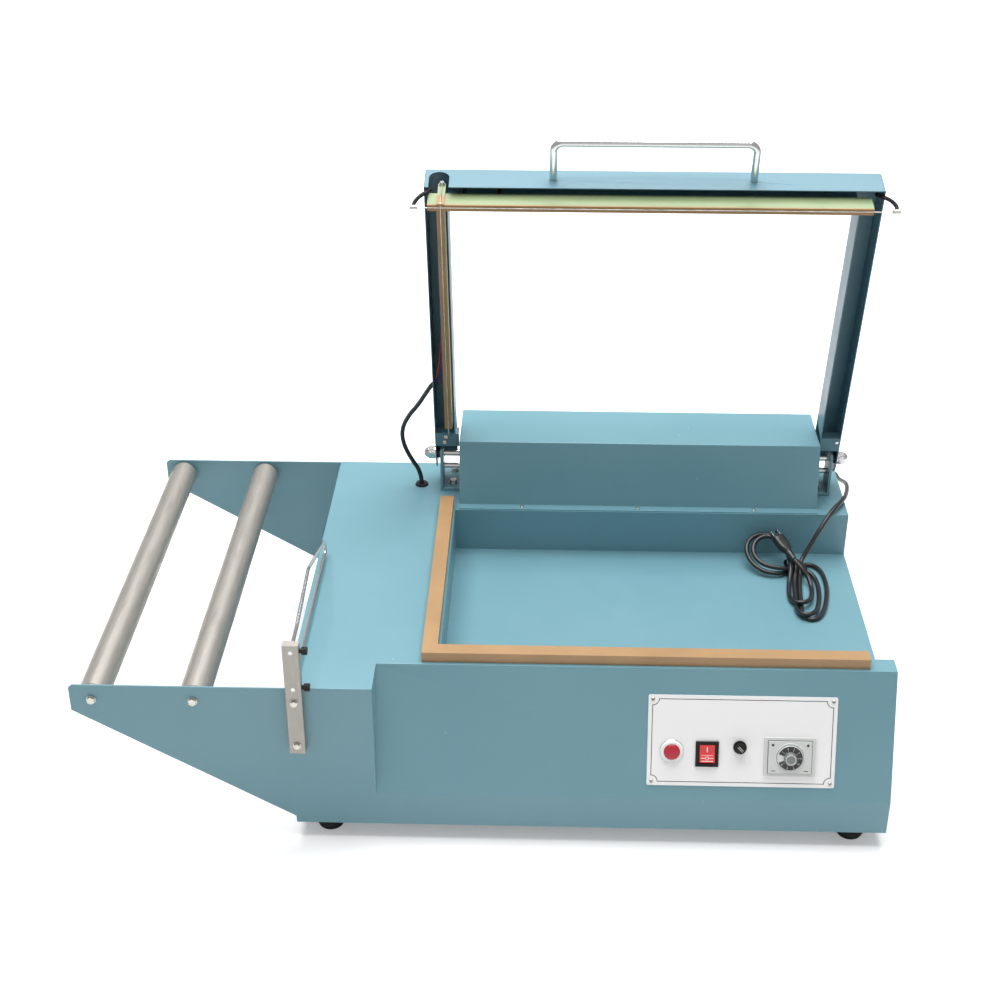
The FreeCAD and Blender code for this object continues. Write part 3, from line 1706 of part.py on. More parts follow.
def main():
    os.makedirs("parts", exist_ok=True)
    anvil_bars, strips, anvil_tapes = make_anvil()
    bezel, cap = make_clean_button()
    switch_frame, rocker = make_power_switch()
    holder, fuse_cap, fuse_link = make_fuse()
    timer_body, timer_dial = make_timer()
    outer_tube, outer_caps = make_roller(roller_outer_x)
    inner_tube, inner_caps = make_roller(roller_inner_x)
    front_bar, left_bar = make_seal_bars()
    plate_inner = front_face_y + bracket_sheet
    rear_inner = deck_rear - bracket_sheet
    still = {
        "deck_panel": make_deck_panel(),
        "front_panel": make_front_panel(),
        "casing_shell": make_casing_shell(),
        "bottom_plate": make_bottom_plate(),
        "rubber_feet": make_feet(),
        "anvil_bars": anvil_bars,
        "silicone_strips": strips,
        "anvil_tapes": anvil_tapes,
        "control_plate": make_control_plate(),
        "casing_screws": group(make_cover_screws() + make_bracket_screws() + make_block_screws()),
        "clean_button_bezel": bezel,
        "clean_button": cap,
        "power_switch_frame": switch_frame,
        "power_rocker": rocker,
        "fuse_holder": holder,
        "fuse_cap": fuse_cap,
        "fuse_link": fuse_link,
        "timer_body": timer_body,
        "timer_dial": timer_dial,
        "roller_bracket_front": make_roller_bracket(front_face_y, plate_inner),
        "roller_bracket_rear": make_roller_bracket(deck_rear, rear_inner),
        "roller_axles": group(make_axles() + make_axle_screws()),
        "roller_outer_tube": outer_tube,
        "roller_outer_caps": outer_caps,
        "roller_inner_tube": inner_tube,
        "roller_inner_caps": inner_caps,
        "film_guide_block": make_guide_block(),
        "film_guide_rod": make_guide_rod(),
        "thumb_screw_upper": make_thumb_screw(guide_rod_upper),
        "thumb_screw_lower": make_thumb_screw(guide_rod_lower),
        "hinge_brackets": make_hinge_brackets(),
        "hinge_bolts": make_hinge_bolts(),
        "shaft_bushes": make_bushes(),
        "spring_anchor_rod": make_anchor_rod(),
        "torsion_springs": make_springs(),
        "spring_cover": make_cover(),
        "limit_switch": make_limit_switch(),
        "deck_grommet": make_grommet(),
        "arm_cable": make_cord(arm_cable_points(), arm_cable_radius, "arm cable"),
        "cord_gland": make_gland(),
        "power_cord": make_cord(cord_points(), cord_radius, "power cord"),
        "cord_hank": make_hank(),
        "cord_plug": make_plug(),
        "transformer": make_transformer(),
        "terminal_block": make_terminal_block(),
    }
    lid = {
        "front_beam": make_front_beam(),
        "arm_left": make_arm(lid_left, 1),
        "arm_right": make_arm(lid_right, -1),
        "seal_bar_front": front_bar,
        "seal_bar_left": left_bar,
        "seal_tapes": make_seal_tapes(),
        "seal_wires": make_seal_wires(),
        "wire_terminals": make_terminals(),
        "tension_arms": make_tension_arms(),
        "lid_handle": make_handle(),
        "lid_screws": make_lid_screws(),
        "arm_leads": make_arm_leads(),
        "hinge_shaft": make_shaft(),
        "shaft_collars": make_shaft_collars(),
        "acorn_nuts": make_acorn_nuts(),
    }
    left, right, front, rear = overall()
    to_origin = Vector(-(left + right) / 2, -(front + rear) / 2, -floor_z)
    for name, shape in still.items():
        shape.translate(to_origin)
        shape.exportStep("parts/" + name + ".step")
    for name, shape in lid.items():
        placed = opened(shape)
        placed.translate(to_origin)
        placed.exportStep("parts/" + name + ".step")
    print(len(still) + len(lid), "nodes, origin moved by", tuple(to_origin))


main()
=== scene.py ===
"""Dresses the l bar sealer: finishes, cords, springs, sealing bars, panel marks and a plain studio."""

import json
import logging
import math
from collections.abc import Iterable, Sequence
from dataclasses import dataclass
from enum import Enum

import bmesh
import bpy
import numpy as np
from mathutils import Matrix, Vector

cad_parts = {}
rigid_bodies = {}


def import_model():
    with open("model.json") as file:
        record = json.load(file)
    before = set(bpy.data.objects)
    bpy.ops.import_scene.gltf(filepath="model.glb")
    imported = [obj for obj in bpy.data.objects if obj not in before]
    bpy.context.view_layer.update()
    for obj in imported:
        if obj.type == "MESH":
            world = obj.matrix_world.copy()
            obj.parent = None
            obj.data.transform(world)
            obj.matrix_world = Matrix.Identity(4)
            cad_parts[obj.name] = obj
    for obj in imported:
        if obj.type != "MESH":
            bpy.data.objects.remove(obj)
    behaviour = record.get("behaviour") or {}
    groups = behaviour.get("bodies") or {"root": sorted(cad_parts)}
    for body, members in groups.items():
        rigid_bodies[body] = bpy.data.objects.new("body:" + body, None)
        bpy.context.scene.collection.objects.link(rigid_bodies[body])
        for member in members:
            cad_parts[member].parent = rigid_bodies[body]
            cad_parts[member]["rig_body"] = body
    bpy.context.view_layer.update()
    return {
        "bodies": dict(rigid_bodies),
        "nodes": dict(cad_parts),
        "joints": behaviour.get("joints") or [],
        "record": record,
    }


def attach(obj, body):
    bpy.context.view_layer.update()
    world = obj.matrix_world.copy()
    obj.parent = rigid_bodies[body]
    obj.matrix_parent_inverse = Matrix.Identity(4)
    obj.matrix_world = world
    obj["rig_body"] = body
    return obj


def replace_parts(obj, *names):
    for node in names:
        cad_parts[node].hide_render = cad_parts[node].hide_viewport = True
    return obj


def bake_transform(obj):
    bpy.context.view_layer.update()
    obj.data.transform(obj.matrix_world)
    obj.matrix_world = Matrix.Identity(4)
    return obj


LOG = logging.getLogger("l_bar_sealer")
MM = 0.001
DECK_CORNER = np.array([-0.08345, -0.2423, 0.236])
LID_PIVOT = (461.4, 53.4)
LID_SWING = math.radians(76.2)
FINE_SIDES = 72

Colour = tuple[float, float, float]


def shade(red: int, green: int, blue: int) -> Colour:
    """Turns a display colour, 0 to 255 a channel, into the linear colour that shaders take.

    Args:
        red: The red channel.
        green: The green channel.
        blue: The blue channel.

    Returns:
        The linear colour, 0 to 1 a channel.
    """
    display = np.array([red, green, blue]) / 255
    linear = np.where(display <= 0.04045, display / 12.92, ((display + 0.055) / 1.055) ** 2.4)
    return tuple(float(channel) for channel in linear)


def on_deck(points: Sequence[Sequence[float]]) -> np.ndarray:
    """Takes points in millimetres from the anvil's outer corner on the deck into the row frame.

    Args:
        points: The points, x to the right, y to the back and z above the deck.

    Returns:
        The same points in metres in the row frame.
    """
    return np.array(points, float) * MM + DECK_CORNER


def on_lid(points: Sequence[Sequence[float]]) -> np.ndarray:
    """Takes points in millimetres of the closed lid to their place on the open lid, in the row frame.

    A point turns about the hinge: with dy and dz from the pivot and the swing a, its y is the pivot's plus
    dy cos a + dz sin a, and its z the pivot's less dy sin a plus dz cos a.

    Args:
        points: The points, as on_deck takes them, with the lid closed.

    Returns:
        The same points in metres in the row frame, with the lid open.
    """
    x, y, z = np.moveaxis(np.array(points, float), -1, 0)
    dy, dz = y - LID_PIVOT[0], z - LID_PIVOT[1]
    cosine, sine = math.cos(LID_SWING), math.sin(LID_SWING)
    swung = [x, LID_PIVOT[0] + dy * cosine + dz * sine, LID_PIVOT[1] - dy * sine + dz * cosine]
    return on_deck(np.stack(swung, axis=-1))


# ---------------------------------------------------------------- finishes
class Relief(Enum):
    """The fine relief of a finish."""

    PEEL = "the orange peel of a powder coat"
    BRUSHED = "fine lines along one axis"
    SPANGLE = "the frosty crystals of a zinc bath"
    WOVEN = "a plain weave of glass threads"
    MOULDED = "the faint grain of a mould"


class Graph:
    """One material's nodes, with short calls to add and join them."""

    def __init__(self, name: str) -> None:
        """Starts the material with its shader.

        Args:
            name: The material's name.
        """
        self.material = bpy.data.materials.new(name)
        self.material.use_nodes = True
        self.tree = self.material.node_tree
        self.tree.nodes.clear()
        self.shader = self.node("ShaderNodeBsdfPrincipled")
        output = self.node("ShaderNodeOutputMaterial")
        self.join(self.shader.outputs["BSDF"], output.inputs["Surface"])
        self.coords = self.node("ShaderNodeTexCoord").outputs["Object"]

    def node(self, kind: str, values: dict | None = None, **settings: object) -> bpy.types.Node:
        """Adds a node.

        Args:
            kind: The node's Blender type.
            values: Input values by socket name.
            settings: The node's own settings.

        Returns:
            The new node.
        """
        made = self.tree.nodes.new(kind)
        for key, value in settings.items():
            setattr(made, key, value)
        for key, value in (values or {}).items():
            made.inputs[key].default_value = value
        return made

    def join(self, source: bpy.types.NodeSocket, target: bpy.types.NodeSocket) -> None:
        """Links an output to an input."""
        self.tree.links.new(source, target)

    def stretched(self, scale: Sequence[float], turn: Sequence[float] = (0, 0, 0)) -> bpy.types.NodeSocket:
        """Object coordinates turned and stretched by a Mapping node.

        Args:
            scale: The stretch along each axis.
            turn: The turn about each axis, in radians.

        Returns:
            The new coordinates.
        """
        mapping = self.node("ShaderNodeMapping", {"Scale": scale, "Rotation": turn})
        self.join(self.coords, mapping.inputs["Vector"])
        return mapping.outputs["Vector"]

    def noise(
        self, scale: float, detail: float = 2.0, where: bpy.types.NodeSocket | None = None
    ) -> bpy.types.NodeSocket:
        """Adds soft noise.

        Args:
            scale: Waves a metre.
            detail: Octaves.
            where: The coordinates it reads, or None for the object's.

        Returns:
            The noise's value, about 0 to 1.
        """
        made = self.node("ShaderNodeTexNoise", {"Scale": scale, "Detail": detail})
        self.join(where or self.coords, made.inputs["Vector"])
        return made.outputs["Fac"]

    def cells(self, scale: float, where: bpy.types.NodeSocket | None = None) -> bpy.types.Node:
        """Adds Voronoi cells.

        Args:
            scale: Cells a metre.
            where: The coordinates it reads, or None for the object's.

        Returns:
            The node.
        """
        made = self.node("ShaderNodeTexVoronoi", {"Scale": scale})
        self.join(where or self.coords, made.inputs["Vector"])
        return made

    def spread(
        self, value: bpy.types.NodeSocket, low: float, high: float, start: float = 0.3, end: float = 0.7
    ) -> bpy.types.NodeSocket:
        """Maps a value's start..end to low..high, held at both ends.

        Args:
            value: The value.
            low: What the start becomes.
            high: What the end becomes.
            start: Where the range starts.
            end: Where it ends.

        Returns:
            The mapped value.
        """
        made = self.node(
            "ShaderNodeMapRange", {"From Min": start, "From Max": end, "To Min": low, "To Max": high}
        )
        self.join(value, made.inputs["Value"])
        return made.outputs["Result"]

    def blend(
        self, share: bpy.types.NodeSocket, first: Colour | bpy.types.NodeSocket, second: Colour
    ) -> bpy.types.NodeSocket:
        """Mixes two colours.

        Args:
            share: 0 for the first colour, 1 for the second.
            first: A colour, or the socket of one.
            second: A colour.

        Returns:
            The mixed colour.
        """
        made = self.node("ShaderNodeMix", data_type="RGBA")
        self.join(share, made.inputs["Factor"])
        inputs = [socket for socket in made.inputs if socket.type == "RGBA"]
        if isinstance(first, bpy.types.NodeSocket):
            self.join(first, inputs[0])
        else:
            inputs[0].default_value = (*first, 1.0)
        inputs[1].default_value = (*second, 1.0)
        return next(socket for socket in made.outputs if socket.type == "RGBA")

    def times(self, first: bpy.types.NodeSocket, second: bpy.types.NodeSocket) -> bpy.types.NodeSocket:
        """Multiplies two values.

        Args:
            first: A value.
            second: Another value.

        Returns:
            Their product.
        """
        made = self.node("ShaderNodeMath", operation="MULTIPLY")
        self.join(first, made.inputs[0])
        self.join(second, made.inputs[1])
        return made.outputs[0]

    def bump(self, height: bpy.types.NodeSocket, depth: float, strength: float = 1.0) -> None:
        """Raises the surface by height times depth, on top of any relief that it has.

        Args:
            height: The relief, 0 to 1.
            depth: How far a height of 1 stands out, in metres.
            strength: How much of it shows.
        """
        made = self.node("ShaderNodeBump", {"Strength": strength, "Distance": depth})
        self.join(height, made.inputs["Height"])
        last = self.shader.inputs["Normal"]
        if last.links:
            self.join(last.links[0].from_socket, made.inputs["Normal"])
        self.join(made.outputs["Normal"], last)


@dataclass(frozen=True)
class Finish:
    """A finish whose colour and gloss drift a little over the piece, with a fine relief.

    The colour goes from colour to drift by a slow noise, roughness runs over its range by a finer one,
    and the relief's height is its pattern times depth.
    """

    name: str
    slot: str
    colour: Colour
    drift: Colour
    roughness: tuple[float, float] = (0.4, 0.5)
    relief: Relief = Relief.MOULDED
    depth: float = 0.02 * MM
    pitch: float = 1.0 * MM
    drift_scale: float = 14.0
    metallic: float = 0.0
    coat: float = 0.0
    coat_roughness: float = 0.15
    along: tuple[float, float, float] = (1.0, 1.0, 1.0)
    specks: Colour | None = None
    clear: float = 0.0
    glow: float = 0.0
    sheen: float = 0.0
    specular: float = 0.5

    def material(self) -> bpy.types.Material:
        """The finish's material, made once."""
        found = bpy.data.materials.get(self.name)
        return found or self.build()

    def build(self) -> bpy.types.Material:
        """Builds the nodes.

        Returns:
            The material.
        """
        graph = Graph(self.name)
        inputs = graph.shader.inputs
        inputs["Metallic"].default_value = self.metallic
        inputs["Coat Weight"].default_value = self.coat
        inputs["Coat Roughness"].default_value = self.coat_roughness
        inputs["Specular IOR Level"].default_value = self.specular
        inputs["Transmission Weight"].default_value = self.clear
        inputs["Sheen Weight"].default_value = self.sheen
        inputs["Emission Strength"].default_value = self.glow
        inputs["Emission Color"].default_value = (*self.colour, 1.0)
        drift = graph.noise(self.drift_scale, 3.0, graph.stretched(self.along))
        tone = graph.blend(graph.spread(drift, 0.0, 1.0), self.colour, self.drift)
        if self.specks:
            tone = graph.blend(self.flecks(graph), tone, self.specks)
        graph.join(tone, inputs["Base Color"])
        graph.join(graph.spread(graph.noise(6 * self.drift_scale), *self.roughness), inputs["Roughness"])
        self.raise_relief(graph, inputs)
        return graph.material

    def flecks(self, graph: Graph) -> bpy.types.NodeSocket:
        """Sparse dust and chips: the middles of the few cells that a slow noise picks.

        Args:
            graph: The material's nodes.

        Returns:
            Their share of the colour, 0 to 1.
        """
        cells = graph.cells(55.0)
        middle = graph.spread(cells.outputs["Distance"], 0.8, 0.0, 0.03, 0.06)
        few = graph.spread(graph.noise(23.0, 1.0), 0.0, 1.0, 0.66, 0.69)
        return graph.times(middle, few)

    def raise_relief(self, graph: Graph, inputs: bpy.types.bpy_prop_collection) -> None:
        """Adds the relief's height, and the tone or gloss that goes with it.

        Args:
            graph: The material's nodes.
            inputs: The shader's inputs.
        """
        rate = 1.0 / self.pitch
        if self.relief is Relief.BRUSHED:
            lines = graph.noise(rate, 2.0, graph.stretched(self.along))
            graph.join(graph.spread(lines, *self.roughness), inputs["Roughness"])
            graph.bump(lines, self.depth)
        elif self.relief is Relief.SPANGLE:
            crystals = graph.cells(rate, graph.stretched(self.along))
            grey = graph.node("ShaderNodeRGBToBW")
            graph.join(crystals.outputs["Color"], grey.inputs["Color"])
            graph.join(graph.spread(grey.outputs["Val"], *self.roughness, 0.2, 0.8), inputs["Roughness"])
            streaks = graph.noise(rate * 0.7, 4.0, graph.stretched(self.along))
            frost = graph.blend(graph.spread(grey.outputs["Val"], 0.0, 0.6), self.colour, self.drift)
            stained = graph.blend(graph.spread(streaks, 0.0, 0.8, 0.45, 0.75), frost, self.drift)
            graph.join(stained, inputs["Base Color"])
            graph.bump(streaks, self.depth)
        elif self.relief is Relief.WOVEN:
            for axis in ("X", "Y", "Z"):
                threads = graph.node(
                    "ShaderNodeTexWave", {"Scale": 0.314 * rate, "Distortion": 0.6}, bands_direction=axis
                )
                graph.join(graph.coords, threads.inputs["Vector"])
                graph.bump(threads.outputs["Fac"], self.depth, 0.5)
        else:
            detail = 1.0 if self.relief is Relief.PEEL else 4.0
            graph.bump(graph.noise(rate, detail), self.depth)


CASING_PAINT = Finish(
    "powder_coat_casing", "casing_paint", (0.132, 0.285, 0.34), (0.146, 0.302, 0.355), (0.34, 0.42),
    Relief.PEEL, 0.035 * MM, 1.1 * MM, 5.0, coat=0.25, coat_roughness=0.3, specks=(0.5, 0.62, 0.66),
)
# painted shade: the casing's powder coat, darkened so that the lid's beam and arms, and the insides of their
# channels, look shadowed
LID_PAINT_SHADED = Finish(
    "powder_coat_lid_painted_shade", "lid_paint", (0.084, 0.194, 0.246), (0.094, 0.208, 0.262), (0.34, 0.42),
    Relief.PEEL, 0.035 * MM, 1.1 * MM, 5.0, coat=0.25, coat_roughness=0.3, specks=(0.5, 0.62, 0.66),
)
GALVANISED = Finish(
    "galvanised_tube", "zinc_steel", (0.47, 0.445, 0.405), (0.37, 0.352, 0.32), (0.36, 0.48),
    Relief.SPANGLE, 0.008 * MM, 4 * MM, 11.0, 0.7, along=(1.0, 0.12, 1.0),
)
BLOCK_ZINC = Finish(
    "zinc_block", "zinc_steel", (0.42, 0.40, 0.365), (0.32, 0.31, 0.28), (0.38, 0.55),
    Relief.BRUSHED, 0.03 * MM, 1.4 * MM, 30.0, 0.75, along=(1.0, 1.0, 0.12),
)
CHROME = Finish(
    "bright_chrome", "bright_steel", (0.80, 0.80, 0.79), (0.72, 0.72, 0.72), (0.1, 0.2),
    Relief.BRUSHED, 0.004 * MM, 0.8 * MM, 40.0, 1.0, along=(0.1, 1.0, 1.0),
)
# nickel; the same finish also paints the highlights on the fuse cap slot's edges
NICKEL_AND_SLOT_GLINT = Finish(
    "nickel_and_slot_highlight", "bright_steel", (0.66, 0.645, 0.60), (0.54, 0.52, 0.47), (0.2, 0.36),
    Relief.MOULDED, 0.01 * MM, 0.9 * MM, 120.0, 1.0,
)
# blackened steel; the same finish also paints the shade inside the plate screws' cross recesses
DARK_STEEL_AND_RECESS_SHADE = Finish(
    "blackened_steel_and_recess_shade", "dark_steel", (0.03, 0.032, 0.035), (0.05, 0.052, 0.055), (0.36, 0.5),
    Relief.MOULDED, 0.02 * MM, 0.8 * MM, 60.0, 0.6,
)
YELLOW_ZINC = Finish(
    "yellow_zinc", "yellow_zinc", (0.62, 0.49, 0.22), (0.50, 0.42, 0.30), (0.25, 0.4),
    Relief.MOULDED, 0.01 * MM, 0.9 * MM, 90.0, 0.95,
)
RUBBER = Finish(
    "black_rubber", "rubber_black", (0.012, 0.012, 0.013), (0.022, 0.022, 0.023), (0.55, 0.75),
    Relief.MOULDED, 0.05 * MM, 0.7 * MM, 50.0, specular=0.25,
)
BLACK_PLASTIC = Finish(
    "black_plastic", "plastic_black", (0.008, 0.007, 0.007), (0.012, 0.011, 0.011), (0.36, 0.46),
    Relief.MOULDED, 0.015 * MM, 0.5 * MM, 80.0, specular=0.3,
)
PLATE_WHITE = Finish(
    "white_plate", "plate_white", (0.90, 0.89, 0.89), (0.86, 0.855, 0.855), (0.3, 0.38),
    Relief.BRUSHED, 0.004 * MM, 0.7 * MM, 9.0, coat=0.2, along=(0.08, 1.0, 1.0),
)
BUTTON_RED = Finish(
    "button_red", "button_red", (0.22, 0.001, 0.005), (0.18, 0.001, 0.004), (0.4, 0.5),
    Relief.MOULDED, 0.01 * MM, 0.6 * MM, 90.0, specular=0.12,
)
BEZEL_WHITE = Finish(
    "bezel_white", "bezel_white", (0.80, 0.79, 0.77), (0.74, 0.74, 0.72), (0.2, 0.3),
    Relief.MOULDED, 0.01 * MM, 0.6 * MM, 90.0, coat=0.3,
)
# painted light: a faint red emission makes the rocker glow as if lit from within
ROCKER_RED = Finish(
    "rocker_red", "rocker_red", (0.78, 0.006, 0.003), (0.70, 0.005, 0.002), (0.3, 0.4),
    Relief.MOULDED, 0.008 * MM, 0.6 * MM, 120.0, glow=0.2, specular=0.12,
)
TIMER_GREY = Finish(
    "timer_grey", "timer_grey", (0.46, 0.51, 0.52), (0.42, 0.47, 0.48), (0.34, 0.46),
    Relief.MOULDED, 0.02 * MM, 0.5 * MM, 70.0, coat=0.1,
)
TIMER_LINE = Finish(
    "timer_line", "timer_grey", (0.20, 0.23, 0.24), (0.17, 0.20, 0.21), (0.4, 0.5),
    Relief.MOULDED, 0.01 * MM, 0.5 * MM, 70.0,
)
DIAL_WHITE = Finish(
    "dial_white", "bezel_white", (0.66, 0.68, 0.68), (0.60, 0.62, 0.62), (0.28, 0.4),
    Relief.MOULDED, 0.01 * MM, 0.5 * MM, 90.0,
)
KNOB_GREY = Finish(
    "knob_grey", "timer_grey", (0.22, 0.235, 0.235), (0.19, 0.205, 0.205), (0.36, 0.46),
    Relief.MOULDED, 0.01 * MM, 0.5 * MM, 90.0,
)
# dial black; the same finish also paints the shade inside the fuse cap's slot
DIAL_BLACK_AND_SLOT_SHADE = Finish(
    "dial_black", "dial_black", (0.010, 0.010, 0.011), (0.016, 0.016, 0.017), (0.3, 0.42),
    Relief.MOULDED, 0.01 * MM, 0.5 * MM, 90.0,
)
SILICONE = Finish(
    "silicone_strip", "silicone", (0.62, 0.36, 0.22), (0.55, 0.31, 0.18), (0.5, 0.62),
    Relief.MOULDED, 0.03 * MM, 0.9 * MM, 40.0, sheen=0.15,
)
GLASS_CLOTH = Finish(
    "brown_glass_cloth", "ptfe_tape", (0.39, 0.235, 0.108), (0.34, 0.20, 0.09), (0.36, 0.48),
    Relief.WOVEN, 0.03 * MM, 0.8 * MM, 16.0, coat=0.12, coat_roughness=0.35,
)
SEAL_CLOTH = Finish(
    "seal_cloth", "ptfe_tape", (0.25, 0.155, 0.045), (0.33, 0.18, 0.06), (0.34, 0.46),
    Relief.WOVEN, 0.03 * MM, 0.8 * MM, 22.0, coat=0.12, coat_roughness=0.35,
)
LAMINATE = Finish(
    "green_laminate", "laminate_green", (0.235, 0.295, 0.155), (0.205, 0.265, 0.135), (0.3, 0.42),
    Relief.WOVEN, 0.01 * MM, 0.6 * MM, 20.0, coat=0.2,
)
WIRE_SILVER = Finish(
    "heating_wire", "wire_silver", (0.62, 0.60, 0.57), (0.42, 0.38, 0.34), (0.25, 0.4),
    Relief.MOULDED, 0.01 * MM, 0.7 * MM, 120.0, 1.0,
)
CORD_BLACK = Finish(
    "cord_pvc", "cord_black", (0.010, 0.010, 0.011), (0.016, 0.015, 0.017), (0.28, 0.4),
    Relief.MOULDED, 0.03 * MM, 1.6 * MM, 60.0, coat=0.2, coat_roughness=0.25,
)
LEAD_BLUE = Finish(
    "lead_blue", "lead_blue", (0.012, 0.03, 0.30), (0.010, 0.022, 0.22), (0.3, 0.42),
    Relief.MOULDED, 0.02 * MM, 1.2 * MM, 80.0, coat=0.2,
)
LEAD_RED = Finish(
    "lead_red", "lead_blue", (0.42, 0.010, 0.012), (0.32, 0.008, 0.010), (0.3, 0.42),
    Relief.MOULDED, 0.02 * MM, 1.2 * MM, 80.0, coat=0.2,
)
FUSE_GLASS = Finish(
    "fuse_glass", "fuse_glass", (0.85, 0.88, 0.88), (0.80, 0.84, 0.84), (0.05, 0.1),
    Relief.MOULDED, 0.004 * MM, 0.9 * MM, 90.0, clear=0.9,
)
CORE_STEEL = Finish(
    "core_laminations", "core_steel", (0.16, 0.155, 0.15), (0.10, 0.085, 0.07), (0.45, 0.6),
    Relief.BRUSHED, 0.15 * MM, 1.2 * MM, 30.0, 0.7, along=(0.02, 0.02, 1.0),
)
INK_BLACK = Finish(
    "printing_ink", "dial_black", (0.028, 0.022, 0.024), (0.040, 0.032, 0.034), (0.45, 0.55),
    Relief.MOULDED, 0.004 * MM, 0.5 * MM, 60.0,
)
# white print; the same finish also paints the highlights on the rocker's grip ridges
WHITE_PRINT_AND_GLINT = Finish(
    "white_print_and_painted_highlight", "bezel_white", (0.78, 0.76, 0.75), (0.70, 0.68, 0.67), (0.45, 0.55),
    Relief.MOULDED, 0.004 * MM, 0.5 * MM, 60.0,
)

NODE_FINISHES: dict[Finish, tuple[str, ...]] = {
    CASING_PAINT: (
        "deck_panel", "front_panel", "casing_shell", "bottom_plate", "spring_cover", "hinge_brackets",
        "roller_bracket_front", "roller_bracket_rear",
    ),
    LID_PAINT_SHADED: ("front_beam", "arm_left", "arm_right"),
    GALVANISED: ("roller_outer_tube", "roller_inner_tube", "roller_outer_caps", "roller_inner_caps"),
    BLOCK_ZINC: ("film_guide_block",),
    CHROME: ("film_guide_rod", "hinge_shaft", "spring_anchor_rod", "acorn_nuts"),
    NICKEL_AND_SLOT_GLINT: ("casing_screws", "roller_axles", "hinge_bolts", "lid_screws", "limit_switch"),
    DARK_STEEL_AND_RECESS_SHADE: ("shaft_collars", "torsion_springs"),
    YELLOW_ZINC: ("shaft_bushes",),
    RUBBER: ("rubber_feet", "deck_grommet", "cord_gland"),
    BLACK_PLASTIC: (
        "power_switch_frame", "fuse_holder", "fuse_cap", "thumb_screw_upper", "thumb_screw_lower",
    ),
    PLATE_WHITE: ("control_plate",),
    BUTTON_RED: ("clean_button",),
    BEZEL_WHITE: ("clean_button_bezel",),
    ROCKER_RED: ("power_rocker",),
    TIMER_GREY: ("timer_body", "terminal_block"),
    DIAL_WHITE: ("timer_dial",),
    SILICONE: ("silicone_strips",),
    GLASS_CLOTH: ("anvil_tapes",),
    CORD_BLACK: ("power_cord", "cord_hank", "cord_plug", "arm_cable"),
    FUSE_GLASS: ("fuse_link",),
    CORE_STEEL: ("transformer", "anvil_bars"),
}


# ---------------------------------------------------------------- surfaces
def surface(
    name: str,
    grid: np.ndarray,
    finish: Finish,
    body: str,
    wrap: tuple[bool, bool] = (False, True),
    capped: bool = True,
    crease: float = 40.0,
) -> bpy.types.Object:
    """Makes a piece from a grid of points: row i, column j joins row i + 1, column j + 1.

    Args:
        name: The piece's name.
        grid: Points, shape (rows, columns, 3), in the row frame.
        finish: Its finish.
        body: The CAD body that it rides on.
        wrap: Whether the rows, and the columns, close on themselves.
        capped: Whether the first and last rows are filled.
        crease: Edges that bend by more than this, in degrees, stay sharp.

    Returns:
        The piece.
    """
    rows, columns = grid.shape[:2]
    i = np.arange(rows if wrap[0] else rows - 1)[:, None]
    j = np.arange(columns if wrap[1] else columns - 1)[None, :]
    down, right = (i + 1) % rows, (j + 1) % columns
    quads = np.stack(
        [i * columns + j, i * columns + right, down * columns + right, down * columns + j], axis=-1
    )
    faces = quads.reshape(-1, 4).tolist()
    if capped and wrap[1] and not wrap[0]:
        faces.append(list(range(columns))[::-1])
        faces.append(list(range((rows - 1) * columns, rows * columns)))
    mesh = bpy.data.meshes.new(name)
    mesh.from_pydata(grid.reshape(-1, 3).tolist(), [], faces)
    return finished(name, mesh, finish, body, crease)


def finished(
    name: str, mesh: bpy.types.Mesh, finish: Finish, body: str, crease: float = 40.0
) -> bpy.types.Object:
    """Turns a mesh's faces outwards, shades it, dresses it and lets it ride on its body.

    Args:
        name: The piece's name.
        mesh: Its mesh, with its place in it.
        finish: Its finish.
        body: The CAD body that it rides on.
        crease: Edges that bend by more than this, in degrees, stay sharp.

    Returns:
        The piece.
    """
    face_outwards(mesh)
    mesh.polygons.foreach_set("use_smooth", np.ones(len(mesh.polygons), bool))
    mesh.set_sharp_from_angle(angle=math.radians(crease))
    mesh.materials.clear()
    mesh.materials.append(finish.material())
    piece = bpy.data.objects.new(name, mesh)
    bpy.context.scene.collection.objects.link(piece)
    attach(piece, body)
    LOG.info("piece %s: %d faces on %s", name, len(mesh.polygons), body)
    return piece


def face_outwards(mesh: bpy.types.Mesh) -> None:
    """Merges doubles and points the normals of closed shells outwards.

    Args:
        mesh: The mesh, changed in place.
    """
    shell = bmesh.new()
    shell.from_mesh(mesh)
    bmesh.ops.remove_doubles(shell, verts=shell.verts, dist=1e-6)
    bmesh.ops.recalc_face_normals(shell, faces=shell.faces)
    shell.to_mesh(mesh)
    shell.free()


def unit(vectors: np.ndarray) -> np.ndarray:
    """Vectors divided by their lengths."""
    return vectors / np.linalg.norm(vectors, axis=-1, keepdims=True)


def tube(
    path: np.ndarray, radius: float | np.ndarray, across: Sequence[float], sides: int = 16
) -> np.ndarray:
    """A round tube: at each point of the path a circle of the radius, square to the path.

    The circle's first axis is the across vector less its part along the path, its second the cross product
    of the path's direction with the first.

    Args:
        path: Points, shape (n, 3).
        radius: One radius, or one for each point.
        across: A direction that the path never takes.
        sides: Points round the circle.

    Returns:
        The grid, shape (n, sides, 3).
    """
    along = unit(np.gradient(path, axis=0))
    reference = np.array(across, float)
    first = unit(reference - (along @ reference)[:, None] * along)
    second = np.cross(along, first)
    turn = np.linspace(0, 2 * math.pi, sides, endpoint=False)
    ring = np.cos(turn)[None, :, None] * first[:, None] + np.sin(turn)[None, :, None] * second[:, None]
    reach = np.broadcast_to(np.asarray(radius, float), len(path))
    return path[:, None] + reach[:, None, None] * ring


